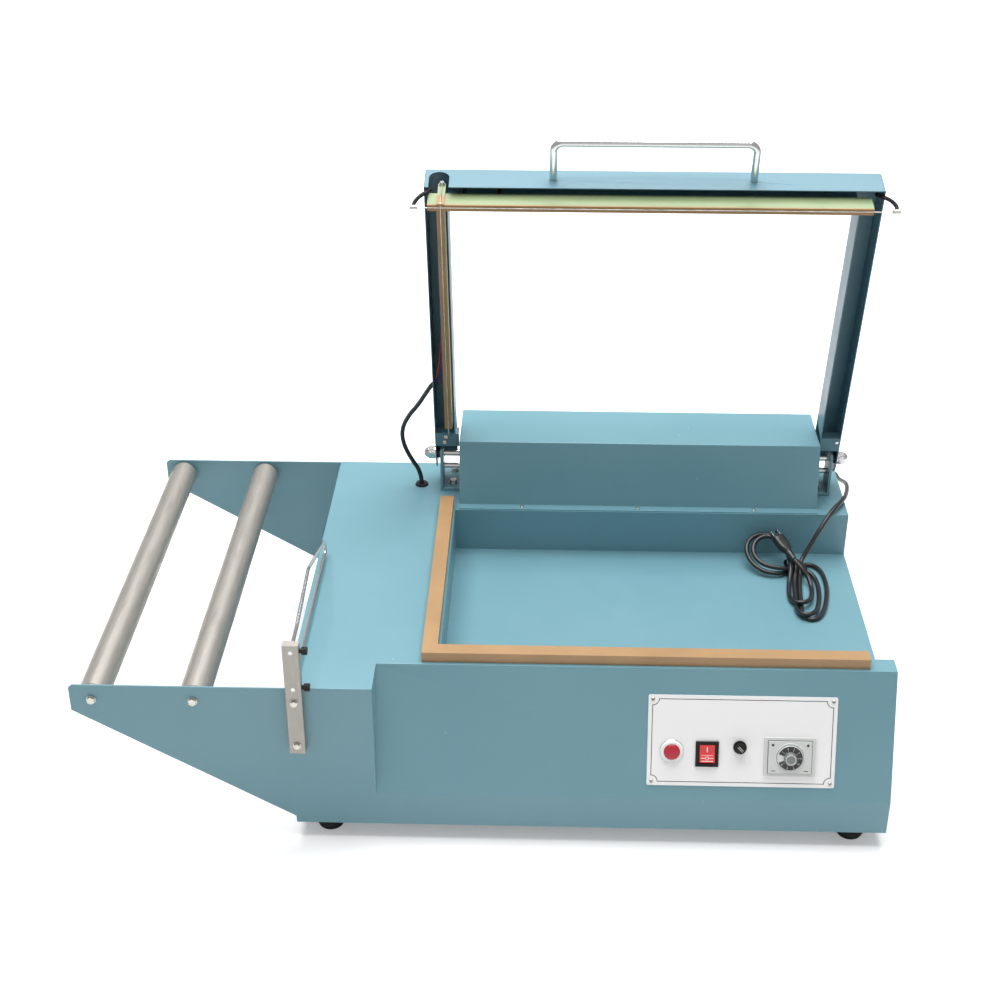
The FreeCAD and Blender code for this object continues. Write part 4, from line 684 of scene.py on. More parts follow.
def lathe(profile: Sequence[Sequence[float]], place: "Place", sides: int = 48) -> np.ndarray:
    """A turned form: each (radius, height) of the profile makes a circle about the place's own axis.

    Args:
        profile: (radius, height) pairs in metres.
        place: Where it stands.
        sides: Points round each circle.

    Returns:
        The grid, shape (points, sides, 3).
    """
    radius, height = np.array(profile, float).T
    turn = np.linspace(0, 2 * math.pi, sides, endpoint=False)
    right, up = radius[:, None] * np.cos(turn), radius[:, None] * np.sin(turn)
    return place.put(np.stack([right, up, np.repeat(height[:, None], sides, 1)], axis=-1))


@dataclass(frozen=True)
class Place:
    """A frame of its own: a point with a right, an up and an out direction."""

    origin: np.ndarray
    right: np.ndarray
    up: np.ndarray
    out: np.ndarray

    def put(self, points: np.ndarray) -> np.ndarray:
        """Takes points (right, up, out) of this place into the row frame."""
        return self.origin + points @ np.stack([self.right, self.up, self.out])

    def take(self, points: np.ndarray) -> np.ndarray:
        """Takes points of the row frame into this place."""
        return (points - self.origin) @ np.stack([self.right, self.up, self.out]).T

    def at(self, right: float, up: float, out: float = 0.0, turn: float = 0.0) -> "Place":
        """Another place on this one.

        Args:
            right: Metres to the right.
            up: Metres up.
            out: Metres out.
            turn: Degrees that it is turned about out, counter-clockwise.

        Returns:
            The new place.
        """
        angle = math.radians(turn)
        across = math.cos(angle) * self.right + math.sin(angle) * self.up
        above = -math.sin(angle) * self.right + math.cos(angle) * self.up
        return Place(self.put(np.array([right, up, out])), across, above, self.out)


def slab(place: Place, outline: np.ndarray, thickness: float) -> np.ndarray:
    """A flat plate: its outline at height 0 and again at its thickness.

    Args:
        place: The plane that it lies on.
        outline: Points (right, up) round its edge.
        thickness: How far it stands out.

    Returns:
        The grid, shape (2, points, 3).
    """
    low = np.column_stack([outline, np.zeros(len(outline))])
    high = np.column_stack([outline, np.full(len(outline), thickness)])
    return place.put(np.stack([low, high]))


def band(place: Place, outline: np.ndarray, width: float, thickness: float) -> np.ndarray:
    """A printed line: a flat section carried round a closed outline, mitred at its corners.

    At each point the line's half width runs along the sum of the two neighbouring edges' normals, divided by
    one plus their dot product, so that its width stays the same round a corner.

    Args:
        place: The plane that it lies on.
        outline: Points (right, up) round the line's middle.
        width: The line's width.
        thickness: How far it stands out.

    Returns:
        The grid, shape (points, 4, 3), closed both ways.
    """
    edge = unit(np.roll(outline, -1, axis=0) - outline)
    normal = np.stack([-edge[:, 1], edge[:, 0]], axis=1)
    before = np.roll(normal, 1, axis=0)
    mitre = (normal + before) / (1 + np.sum(normal * before, axis=1, keepdims=True))
    inner, outer = outline - mitre * width / 2, outline + mitre * width / 2
    heights = [0.0, 0.0, thickness, thickness]
    corners = [inner, outer, outer, inner]
    section = [np.column_stack([c, np.full(len(c), h)]) for c, h in zip(corners, heights)]
    return place.put(np.stack(section, axis=1))


def rectangle(width: float, height: float) -> np.ndarray:
    """The four corners (right, up) of a rectangle about the middle."""
    return np.array([(-0.5, -0.5), (0.5, -0.5), (0.5, 0.5), (-0.5, 0.5)]) * (width, height)


def circle(radius: float, start: float = 0.0, end: float = 360.0, count: int = 48) -> np.ndarray:
    """Points (right, up) on a circle's arc from start to end degrees; a whole circle leaves out its last."""
    turn = np.radians(np.linspace(start, end, count, endpoint=abs(end - start) < 360))
    return radius * np.stack([np.cos(turn), np.sin(turn)], axis=1)


def sector(
    place: Place, inner: float, outer: float, start: float, end: float, thickness: float
) -> np.ndarray:
    """A flat part of a ring, as slices of a four-cornered section.

    Args:
        place: The plane that it lies on, with the ring's middle.
        inner: The inner radius.
        outer: The outer radius.
        start: Where it starts, in degrees.
        end: Where it ends, in degrees.
        thickness: How far it stands out.

    Returns:
        The grid, shape (slices, 4, 3).
    """
    low, high = circle(inner, start, end, FINE_SIDES), circle(outer, start, end, FINE_SIDES)
    corners = [(low, 0.0), (high, 0.0), (high, thickness), (low, thickness)]
    section = [np.column_stack([c, np.full(len(c), h)]) for c, h in corners]
    return place.put(np.stack(section, axis=1))


def figure(
    name: str, text: str, height: float, place: Place, finish: Finish, body: str
) -> bpy.types.Object:
    """A printed figure, as a thin mesh with its place in it.

    Args:
        name: The piece's name.
        text: What it says.
        height: The height of its capitals, in metres.
        place: Where its middle stands.
        finish: Its finish.
        body: The CAD body that it rides on.

    Returns:
        The piece.
    """
    curve = bpy.data.curves.new(name, "FONT")
    curve.body, curve.size, curve.extrude = text, height / 0.7, 0.02 * MM
    curve.align_x, curve.align_y, curve.resolution_u = "CENTER", "CENTER", 3
    source = bpy.data.objects.new(name, curve)
    bpy.context.scene.collection.objects.link(source)
    mesh = bpy.data.meshes.new_from_object(source)
    bpy.data.objects.remove(source)
    points = np.zeros(len(mesh.vertices) * 3, np.float32)
    mesh.vertices.foreach_get("co", points)
    mesh.vertices.foreach_set("co", place.put(points.reshape(-1, 3)).astype(np.float32).ravel())
    return finished(name, mesh, finish, body, 30.0)


def node_points(frame: dict, node: str) -> np.ndarray:
    """A CAD node's vertices.

    Args:
        node: The node's name.

    Returns:
        Its points, shape (n, 3), in the row frame.
    """
    mesh = frame["nodes"][node].data
    points = np.zeros(len(mesh.vertices) * 3, np.float32)
    mesh.vertices.foreach_get("co", points)
    return points.reshape(-1, 3).astype(float)


def joint(frame: dict, name: str) -> dict:
    """A joint of the record by its name."""
    return next(found for found in frame["joints"] if found["name"] == name)


# ---------------------------------------------------------------- cords
@dataclass
class MainsCord:
    """The mains cord: out of the gland, round the deck into the tray, wound up and tied, with its plug."""

    radius: float = 3.3 * MM
    length: float = 1.61
    neck: float = 18 * MM

    LEAD_IN = (
        (530, 560, -45), (530, 585, -45), (568.25, 607, -42), (607, 585, -37), (606, 548, -30),
        (611.3, 503, -12), (600.5, 448, 0), (589, 413, 9), (569, 384.5, 8), (550, 361.5, -11),
        (534, 350, -37), (524, 341, -51), (521, 330, -54),
    )
    OUTER_TURN = (
        (520, 318, -57.5), (517, 300, -61.5), (514.5, 277, -62.7), (512.5, 250, -62.7), (510, 226, -62.7),
        (512, 209, -62.7), (523, 203, -62.7), (535, 212, -62.7), (544, 234, -62.7), (550, 260, -62.7),
        (554, 287, -62.7), (554, 312, -62.7), (551, 333, -62.7), (542, 347, -62.7), (529, 348, -62.7),
    )
    LEANING_TURN = (
        (516, 338, -62.5), (504, 326, -62), (494, 319, -60.5), (483, 317, -59), (470, 319, -58),
        (458, 327, -55), (449, 339, -50), (445, 353, -43), (449, 367, -36.5), (458, 376, -32.5),
        (471, 380, -31), (484, 378, -32), (496, 370, -34.5), (506, 356, -40.5), (512, 342, -47.5),
    )
    MIDDLE_TURN = (
        (514.5, 330, -51.5), (513.5, 317, -56), (510, 300, -61), (507.5, 277, -62.7), (505.5, 250, -62.7),
        (503, 227, -61), (507, 210, -57), (518, 206, -56), (529, 217, -57.5), (535, 238, -61.5),
        (540, 262, -62.7), (542, 287, -62.7), (541, 308, -62), (534, 325, -60.5), (523, 330, -60),
    )
    UPPER_TURN = (
        (511, 325.5, -57), (500, 321, -53.5), (487, 320, -51.5), (473, 323, -50.5), (461, 331, -47.5),
        (454.5, 342, -43), (455, 355, -37), (462, 366, -31.5), (474, 371, -28.5), (487, 367, -29.5),
        (498, 353.5, -35), (505, 340, -43),
    )
    INNER_TURN = (
        (507, 328, -48.5), (506, 315, -54), (502, 298, -60), (499, 277, -62.7), (497.5, 258, -62.2),
        (501, 243, -58.5), (509, 235.5, -55.7), (519, 238, -55.7), (527, 252, -58.7), (531, 272, -62),
        (532, 289, -61), (529, 302, -54.5), (520.5, 310, -46),
    )
    PLUG = (501.3, 336.0, -31.8)
    PLUG_TURN = 121.4
    PLUG_PITCH = 22.0
    PLUG_STATIONS = (
        (-18, 3.9, 3.9), (-15.5, 4.6, 4.6), (-14.6, 4.0, 4.0), (-12.1, 4.9, 4.9), (-11.2, 4.3, 4.3),
        (-8.7, 5.3, 5.2), (-7.8, 4.7, 4.6), (-5.3, 5.7, 5.5), (-4.4, 5.2, 5.0), (-1.5, 6.2, 5.8),
        (1.5, 7.4, 6.2), (6, 8.7, 6.5), (12, 9.0, 6.5), (22, 9.0, 6.5), (25.2, 8.7, 6.2), (26, 8.0, 5.5),
    )
    PIN_STATIONS = ((25, 3.0, 0.8), (36.2, 3.0, 0.8), (37.6, 2.2, 0.5), (38, 1.6, 0.3))
    PIN_SIDE = 5.5
    TIE = (514.5, 331.0, -55.5)
    TIE_ALONG = (-0.7, -0.72, 0.0)
    TIE_OVAL = (17.5, 10.2)
    TIE_SECTION = ((0, -3.5), (0, 3.5), (1.0, 3.2), (1.0, -3.2))

    def plug_place(self) -> Place:
        """The plug's own frame.

        Returns:
            Right along its pins, up across them, out through its flat side.
        """
        turn, pitch = math.radians(self.PLUG_TURN), math.radians(self.PLUG_PITCH)
        flat = np.array([math.cos(turn), math.sin(turn), 0.0])
        along = math.cos(pitch) * flat + math.sin(pitch) * np.array([0.0, 0.0, 1.0])
        side = np.array([-math.sin(turn), math.cos(turn), 0.0])
        return Place(on_deck(self.PLUG), along, side, np.cross(along, side))

    def route(self) -> np.ndarray:
        """The cord's control points.

        Returns:
            The points in the row frame, from the gland to the plug's neck.
        """
        wound = (
            self.LEAD_IN + self.OUTER_TURN + self.LEANING_TURN + self.MIDDLE_TURN + self.UPPER_TURN
            + self.INNER_TURN
        )
        neck = self.plug_place().put(np.array([[-self.neck, 0.0, 0.0], [-self.neck / 2, 0.0, 0.0]]))
        return np.vstack([on_deck(wound), neck])

    def build(self) -> None:
        """Makes the cord, its plug and its tie."""
        plug = [self.plug_body(), *self.plug_pins()]
        tie = self.tie()
        cord = cord_curve("mains_cord", self.route(), self.radius)
        cord.data.materials.append(CORD_BLACK.material())
        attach(cord, "base")
        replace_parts(cord, "power_cord", "cord_hank")
        self.route()[0]

    def plug_body(self) -> bpy.types.Object:
        """The moulded plug: a rounded block that swells from the ribbed neck and ends flat at the pins.

        Its sections go from an ellipse to a superellipse |x/a|^4 + |y/b|^4 = 1 between 4 mm before the origin
        and 6 mm after it, with the stations' half sizes a and b.

        Returns:
            The piece.
        """
        stations = np.array(self.PLUG_STATIONS) * MM
        turn = np.linspace(0, 2 * math.pi, 40, endpoint=False)
        square = np.clip((stations[:, 0] + 4 * MM) / (10 * MM), 0, 1)[:, None]
        power = 1.0 - 0.5 * square
        across = np.sign(np.cos(turn)) * np.abs(np.cos(turn)) ** power * stations[:, 1:2]
        thick = np.sign(np.sin(turn)) * np.abs(np.sin(turn)) ** power * stations[:, 2:3]
        along = np.broadcast_to(stations[:, :1], across.shape)
        grid = self.plug_place().put(np.stack([along, across, thick], axis=-1))
        plug = surface("plug_body", grid, CORD_BLACK, "base", crease=60.0)
        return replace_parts(plug, "cord_plug")

    def plug_pins(self) -> list[bpy.types.Object]:
        """The two flat pins, each with a chamfered tip.

        Returns:
            The pieces.
        """
        pins = []
        place = self.plug_place()
        stations = np.array(self.PIN_STATIONS) * MM
        corner = np.array([(-1, -1), (1, -1), (1, 1), (-1, 1)])
        for side, name in ((-self.PIN_SIDE, "plug_pin_left"), (self.PIN_SIDE, "plug_pin_right")):
            wide = corner[None, :, 1] * stations[:, 1:2]
            thin = corner[None, :, 0] * stations[:, 2:3] + side * MM
            along = np.broadcast_to(stations[:, :1], wide.shape)
            pins.append(surface(name, place.put(np.stack([along, thin, wide], axis=-1)), CHROME, "base"))
        return pins

    def tie(self) -> bpy.types.Object:
        """The tie round the waist: a flat strap carried round an oval that holds all the turns.

        Returns:
            The piece.
        """
        along = unit(np.array(self.TIE_ALONG))
        side = np.array([-along[1], along[0], 0.0])
        upright = np.array([0.0, 0.0, 1.0])
        place = Place(on_deck(self.TIE), side, upright, np.cross(side, upright))
        turn = np.linspace(0, 2 * math.pi, 64, endpoint=False)
        wide, high = self.TIE_OVAL
        oval = np.stack([wide * MM * np.cos(turn), high * MM * np.sin(turn)], axis=1)
        rows = []
        for reach, out in self.TIE_SECTION:
            ring = oval + reach * MM * unit(oval)
            rows.append(place.put(np.column_stack([ring, np.full(len(ring), out * MM)])))
        return surface("hank_tie", np.stack(rows, axis=1), RUBBER, "base", wrap=(True, True))


def cord_curve(name: str, points: np.ndarray, radius: float) -> bpy.types.Object:
    """A cord as a smooth NURBS curve of order 3 with the route's points as its control points.

    Args:
        name: The piece's name.
        points: The control points in the row frame.
        radius: The cord's radius, or 0 for its bare line.

    Returns:
        The curve, linked to the scene.
    """
    curve = bpy.data.curves.new(name, "CURVE")
    curve.dimensions = "3D"
    curve.resolution_u = curve.render_resolution_u = 10
    curve.bevel_depth, curve.bevel_resolution = radius, 6
    curve.use_fill_caps = radius > 0
    spline = curve.splines.new("NURBS")
    spline.points.add(len(points) - 1)
    spline.points.foreach_set("co", np.column_stack([points, np.ones(len(points))]).ravel())
    spline.order_u = 3
    spline.use_endpoint_u = True
    piece = bpy.data.objects.new(name, curve)
    bpy.context.scene.collection.objects.link(piece)
    LOG.info("cord %s: %d control points", name, len(points))
    return piece


def smooth_line(name: str, points: np.ndarray) -> np.ndarray:
    """The points that a route's NURBS spline gives.

    Args:
        name: A name for the passing curve.
        points: The control points in the row frame.

    Returns:
        The points in order along it, shape (n, 3).
    """
    source = cord_curve(name, points, 0.0)
    mesh = bpy.data.meshes.new_from_object(source)
    line = np.array([vertex.co for vertex in mesh.vertices])
    bpy.data.objects.remove(source)
    bpy.data.meshes.remove(mesh)
    return line


@dataclass
class ArmCable:
    """The cable from the deck's grommet up to the lid's left arm."""

    radius: float = 3.3 * MM

    ROUTE = (
        (-31.9, 459, -3.5), (-31.9, 459, 20), (-47.9, 456, 47), (-57.9, 453, 74), (-58.4, 449, 98),
        (-47.9, 444, 122), (-32.5, 438, 143), (-20.5, 431.5, 165), (-10.5, 426.5, 182.3),
        (-5.5, 426.5, 185.3),
    )

    def build(self) -> None:
        """Makes the tube along its smooth line, with soft bends where the sheath creases."""
        line = smooth_line("arm_cable_line", on_deck(self.ROUTE))
        grid = tube(line, self.radius, (0.0, 1.0, 0.1), 20)
        piece = surface("lid_cable", grid, CORD_BLACK, "base", crease=60)
        piece.parent = None
        del piece["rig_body"]
        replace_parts(piece, "arm_cable")
        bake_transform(piece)


# ---------------------------------------------------------------- sub-assemblies
@dataclass
class Casing:
    """The folded sheet metal: its edges are rounded a little, so that folds and rims take a light line."""

    fold_round: float = 0.55 * MM
    weld: float = 0.01 * MM
    fold_angle: float = 35.0

    SHEETS = (
        "deck_panel", "front_panel", "casing_shell", "spring_cover", "hinge_brackets", "front_beam",
        "arm_left", "arm_right", "anvil_tapes",
    )

    def build(self, frame: dict) -> None:
        """Adds the rounding to each sheet.
        """
        for name in self.SHEETS:
            node = frame["nodes"][name]
            weld = node.modifiers.new("weld", "WELD")
            weld.merge_threshold = self.weld
            bevel = node.modifiers.new("rounding", "BEVEL")
            bevel.width, bevel.segments = self.fold_round, 2
            bevel.limit_method, bevel.angle_limit = "ANGLE", math.radians(self.fold_angle)
            bevel.harden_normals = False


@dataclass
class ControlPanel:
    """The marks and trims on the sloping control plate.

    The fields are metres. The constants below them are millimetres and degrees: profiles are (radius, height)
    pairs, marks are (width, height), places are (right, up), and SCALE is two radii and two angles.
    """

    line_inset: float = 5.2 * MM
    line_width: float = 0.9 * MM
    notch: float = 8.2 * MM
    ink: float = 0.06 * MM
    screw_inset: float = 5.5 * MM
    screw_height: float = 1.62 * MM
    frame_rise: float = 1.95 * MM
    frame_size: tuple[float, float] = (55.2 * MM, 43.2 * MM)
    knob_height: float = 6.58 * MM

    RIM = ((0.02, 0.0), (0.9, 0.0), (0.8, 1.0), (0.3, 1.5), (0.02, 1.4))
    CROSS = (2.9, 0.55)
    CROSS_TURNS = (35.0, 125.0)
    ON_MARK = (1.3, 6.6)
    ON_PLACE = (6.4, 7.02)
    ROCKER_RIDGE = (0.974, 6.932)
    ROCKER_TOE = (-9.837, 10.119)
    # the next rows are painted highlights: light lines where the rocker's grip ridges catch the light, drawn
    # flat in white
    ROCKER_GLINTS = (
        ("upper", 0.0, 2.2, 14.5, 0.45), ("left", -4.9, 5.6, 5.6, 0.95), ("right", 4.9, 5.6, 5.6, 0.95),
        ("lower", 0.0, 9.3, 14.5, 0.95),
    )
    OFF_PLACE = -5.6
    OFF_RING = (1.9, 0.6)
    CAP_FACE = ((6.2, 0.02), (6.2, 0.3), (5.6, 0.5))
    CAP_TURN = 135.0
    # the slot's two sizes below: a bright strip of painted highlight and, on it, a dark strip of painted
    # shade
    SLOT_GLINTS = (8.6, 2.9)
    SLOT_SHADE = (8.6, 1.1)
    TIMER_RING = ((17.0, 0), (19.2, 0), (18.8, 0.8), (17.4, 0.8))
    LAMP_PLACE = (21.9, 16.3)
    LAMP = ((1.7, 0), (1.7, 0.2), (1.1, 0.5))
    CORNER_PLACE = (20.5, -17.6)
    CORNER_MARK = (5.2, 1.0)
    SCALE = (8.3, 15.6, -158.0, 160.0)
    FIGURES = (12.9, 2.5)
    TICKS = (10.0, 1.7, 0.45)
    FIRST_SPOKE = -140
    SPOKE_STEP = 35
    POINTER = ((-3.6, 0.0), (-2.4, 4.6), (0.0, 10.6), (2.4, 4.6), (3.6, 0.0))
    POINTER_TURN = 38.0
    KNOB = ((8.3, 0.07), (8.2, 0.5), (7.75, 6.2), (7.2, 6.75))
    KNOB_RIM = ((5.6, 0), (6.6, 0), (6.3, 0.35), (5.9, 0.35))
    KNOB_TOP = 6.76

    def __post_init__(self) -> None:
        """Starts with no plane; build() reads it from the frame."""
        self.frame: dict = {}

    def plane(self) -> Place:
        """The plate's plane through the row frame's origin.

        Returns:
            Right, up the slope and out of it.
        """
        out = -np.array(joint(self.frame, "clean_button_press")["axis"], float)
        right = np.array([1.0, 0.0, 0.0])
        return Place(np.zeros(3), right, np.cross(out, right), out)

    def span(self, node: str) -> tuple[np.ndarray, np.ndarray]:
        """The lowest and highest (right, up, out) of a node on the plane."""
        points = self.plane().take(node_points(self.frame, node))
        return points.min(0), points.max(0)

    def front(self, node: str, lift: float = 0.0) -> Place:
        """The middle of a node's front.

        Args:
            node: The CAD node.
            lift: How far out of the front it stands, in metres.

        Returns:
            The place.
        """
        low, high = self.span(node)
        middle = (low + high) / 2
        return self.plane().at(middle[0], middle[1], high[2] + lift)

    def build(self, frame: dict) -> None:
        """Makes every mark.
        """
        self.frame = frame
        self.border()
        self.button_rim()
        self.screw_crosses()
        self.rocker_marks()
        self.fuse_slot()
        self.timer_marks()

    def border(self) -> None:
        """The plate's black line, with a quarter circle cut in at each corner round the screw."""
        low, high = self.span("control_plate")
        half = (high - low)[:2] / 2 - self.line_inset
        quarter = circle(self.notch, 180.0, 90.0, 12)
        corners = [(1, 1), (-1, 1), (-1, -1), (1, -1)]
        outline = []
        for side, rise in corners:
            arc = quarter * np.array([1, -1]) * np.array([side, rise]) + half * np.array([side, rise])
            outline.append(arc[::-1] if side * rise > 0 else arc)
        points = np.vstack(outline)
        place = self.plane().at(*((low + high) / 2)[:2], high[2])
        line = band(place, points, self.line_width, self.ink)
        surface("plate_border", line, INK_BLACK, "base", (True, True))

    def button_rim(self) -> None:
        """The chrome rim round the foot of the button's white ring."""
        low, high = self.span("clean_button_bezel")
        radius = (high[0] - low[0]) / 2
        plate = self.span("control_plate")[1][2]
        middle = (low + high) / 2
        place = self.plane().at(middle[0], middle[1], plate)
        profile = np.array(self.RIM) * MM + (radius, 0.0)
        surface("button_rim", lathe(profile, place, FINE_SIDES), CHROME, "base", (True, True))

    def turned(
        self, name: str, profile: Sequence[Sequence[float]], place: Place, sides: int, finish: Finish,
        body: str, closed: bool = False,
    ) -> None:
        """A small turned trim.

        Args:
            name: The piece's name.
            profile: (radius, height) pairs in millimetres.
            place: Where it stands.
            sides: Points round each circle.
            finish: Its finish.
            body: The CAD body that it rides on.
            closed: Whether the profile's last point joins its first.
        """
        surface(name, lathe(np.array(profile) * MM, place, sides), finish, body, (closed, True))

    def mark(self, name: str, place: Place, width: float, height: float, finish: Finish, node: str) -> None:
        """A thin printed rectangle that rides with a node's body.

        Args:
            name: The piece's name.
            place: Where its middle stands.
            width: Its width in millimetres.
            height: Its height in millimetres.
            finish: Its finish.
            node: The CAD node that carries it.
        """
        outline = rectangle(width * MM, height * MM)
        surface(name, slab(place, outline, self.ink), finish, self.frame["nodes"][node]["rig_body"])

    def screw_crosses(self) -> None:
        """Painted shade in the cross recess of each of the plate's four screws, drawn as two thin dark marks
        on each head.
        """
        low, high = self.span("control_plate")
        middle, half = (low + high) / 2, (high - low) / 2 - self.screw_inset
        for side, across in ((-1, "left"), (1, "right")):
            for rise, above in ((-1, "lower"), (1, "upper")):
                head = self.plane().at(
                    middle[0] + side * half[0], middle[1] + rise * half[1], high[2] + self.screw_height
                )
                for turn in self.CROSS_TURNS:
                    name = f"plate_screw_slot_{above}_{across}_{turn:.0f}"
                    self.mark(name, head.at(0, 0, 0, turn), *self.CROSS, DARK_STEEL_AND_RECESS_SHADE, "control_plate")

    def rocker_marks(self) -> None:
        """The I on the rocker's pressed upper half, and three light lines of painted highlight on its raised
        lower half, where its grip ridges catch the light.
        """
        plane = self.plane()
        axle = plane.at(*plane.take(np.array(joint(self.frame, "power_rocker_tilt")["pos_m"], float)))
        spot = axle.at(0, *(place * MM for place in self.ON_PLACE))
        self.mark("rocker_on_mark", spot, *self.ON_MARK, WHITE_PRINT_AND_GLINT, "power_rocker")
        ridge, toe = np.array(self.ROCKER_RIDGE) * MM, np.array(self.ROCKER_TOE) * MM
        rise = unit(ridge - toe)
        up = rise[0] * axle.up + rise[1] * axle.out
        start = axle.put(np.array([0.0, *ridge]))
        face = Place(start, axle.right, up, np.cross(axle.right, up))
        for name, side, down, width, height in self.ROCKER_GLINTS:
            spot = face.at(side * MM, -down * MM)
            self.mark(f"rocker_highlight_{name}", spot, width, height, WHITE_PRINT_AND_GLINT, "power_rocker")
        body = self.frame["nodes"]["power_rocker"]["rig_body"]
        radius, width = self.OFF_RING
        ring = band(face.at(0, self.OFF_PLACE * MM), circle(radius * MM), width * MM, self.ink)
        surface("rocker_off_mark", ring, WHITE_PRINT_AND_GLINT, body, (True, True))

    def fuse_slot(self) -> None:
        """The fuse cap's face: a dark disc, with its driver's slot drawn flat as a strip of painted shade
        between two bright strips of painted highlight.
        """
        cap = self.front("fuse_cap")
        body = self.frame["nodes"]["fuse_cap"]["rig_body"]
        self.turned("fuse_cap_face", self.CAP_FACE, cap, 60, BLACK_PLASTIC, body)
        slot = cap.at(0, 0, self.CAP_FACE[-1][1] * MM, self.CAP_TURN)
        self.mark("fuse_slot_highlights", slot, *self.SLOT_GLINTS, NICKEL_AND_SLOT_GLINT, "fuse_cap")
        self.mark("fuse_slot_shade", slot.at(0, 0, self.ink), *self.SLOT_SHADE, DIAL_BLACK_AND_SLOT_SHADE, "fuse_cap")

    def timer_marks(self) -> None:
        """The timer's frame line, ring, lamps and corner marks, and the dial's scale with its pointer."""
        frame = self.front("timer_body")
        body = self.frame["nodes"]["timer_body"]["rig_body"]
        line = band(frame.at(0, 0, -self.frame_rise), rectangle(*self.frame_size), self.line_width, self.ink)
        surface("timer_frame_line", line, TIMER_LINE, body, (True, True))
        low, high = self.span("timer_dial")
        dial = self.plane().at((low[0] + high[0]) / 2, (low[1] + high[1]) / 2, high[2])
        lift = self.span("timer_body")[1][2] - high[2]
        self.turned("timer_ring", self.TIMER_RING, dial.at(0, 0, lift), FINE_SIDES, DIAL_WHITE, body, True)
        lamp_place, corner_place = np.array(self.LAMP_PLACE), np.array(self.CORNER_PLACE)
        for side, name in ((-1, "left"), (1, "right")):
            lamp, corner = ((side, 1) * at * MM for at in (lamp_place, corner_place))
            self.turned(f"timer_lamp_{name}", self.LAMP, frame.at(*lamp), 24, DIAL_BLACK_AND_SLOT_SHADE, body)
            self.mark(f"timer_corner_{name}", frame.at(*corner), *self.CORNER_MARK, INK_BLACK, "timer_body")
        self.dial_marks(dial.at(0, 0, -self.knob_height))

    def dial_marks(self, face: Place) -> None:
        """The black scale round the knob with white figures and lines, and the knob's pointer and ring.

        Args:
            face: The middle of the dial's flat face.
        """
        body = self.frame["nodes"]["timer_dial"]["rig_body"]
        inner, outer, start, end = self.SCALE
        scale = sector(face, inner * MM, outer * MM, start, end, self.ink)
        surface("dial_scale", scale, DIAL_BLACK_AND_SLOT_SHADE, body)
        on_scale = face.at(0, 0, self.ink)
        (reach, capital), (near, *tick) = self.FIGURES, self.TICKS
        for step in range(9):
            spoke = on_scale.at(0, 0, 0, self.FIRST_SPOKE + self.SPOKE_STEP * step)
            spot = spoke.at(reach * MM, 0, 0, -90)
            figure(f"dial_figure_{step}", str(9 - step), capital * MM, spot, WHITE_PRINT_AND_GLINT, body)
            self.mark(f"dial_tick_{step}", spoke.at(near * MM, 0), *tick, WHITE_PRINT_AND_GLINT, "timer_dial")
        tip = np.array(self.POINTER) * MM
        grip = face.at(0, 0, 0.1 * MM, self.POINTER_TURN)
        surface("knob_pointer", slab(grip, tip[::-1], 4.2 * MM), KNOB_GREY, body)
        self.turned("knob_cap", self.KNOB, face, 60, KNOB_GREY, body)
        self.turned("knob_rim", self.KNOB_RIM, face.at(0, 0, self.KNOB_TOP * MM), 60, TIMER_GREY, body, True)


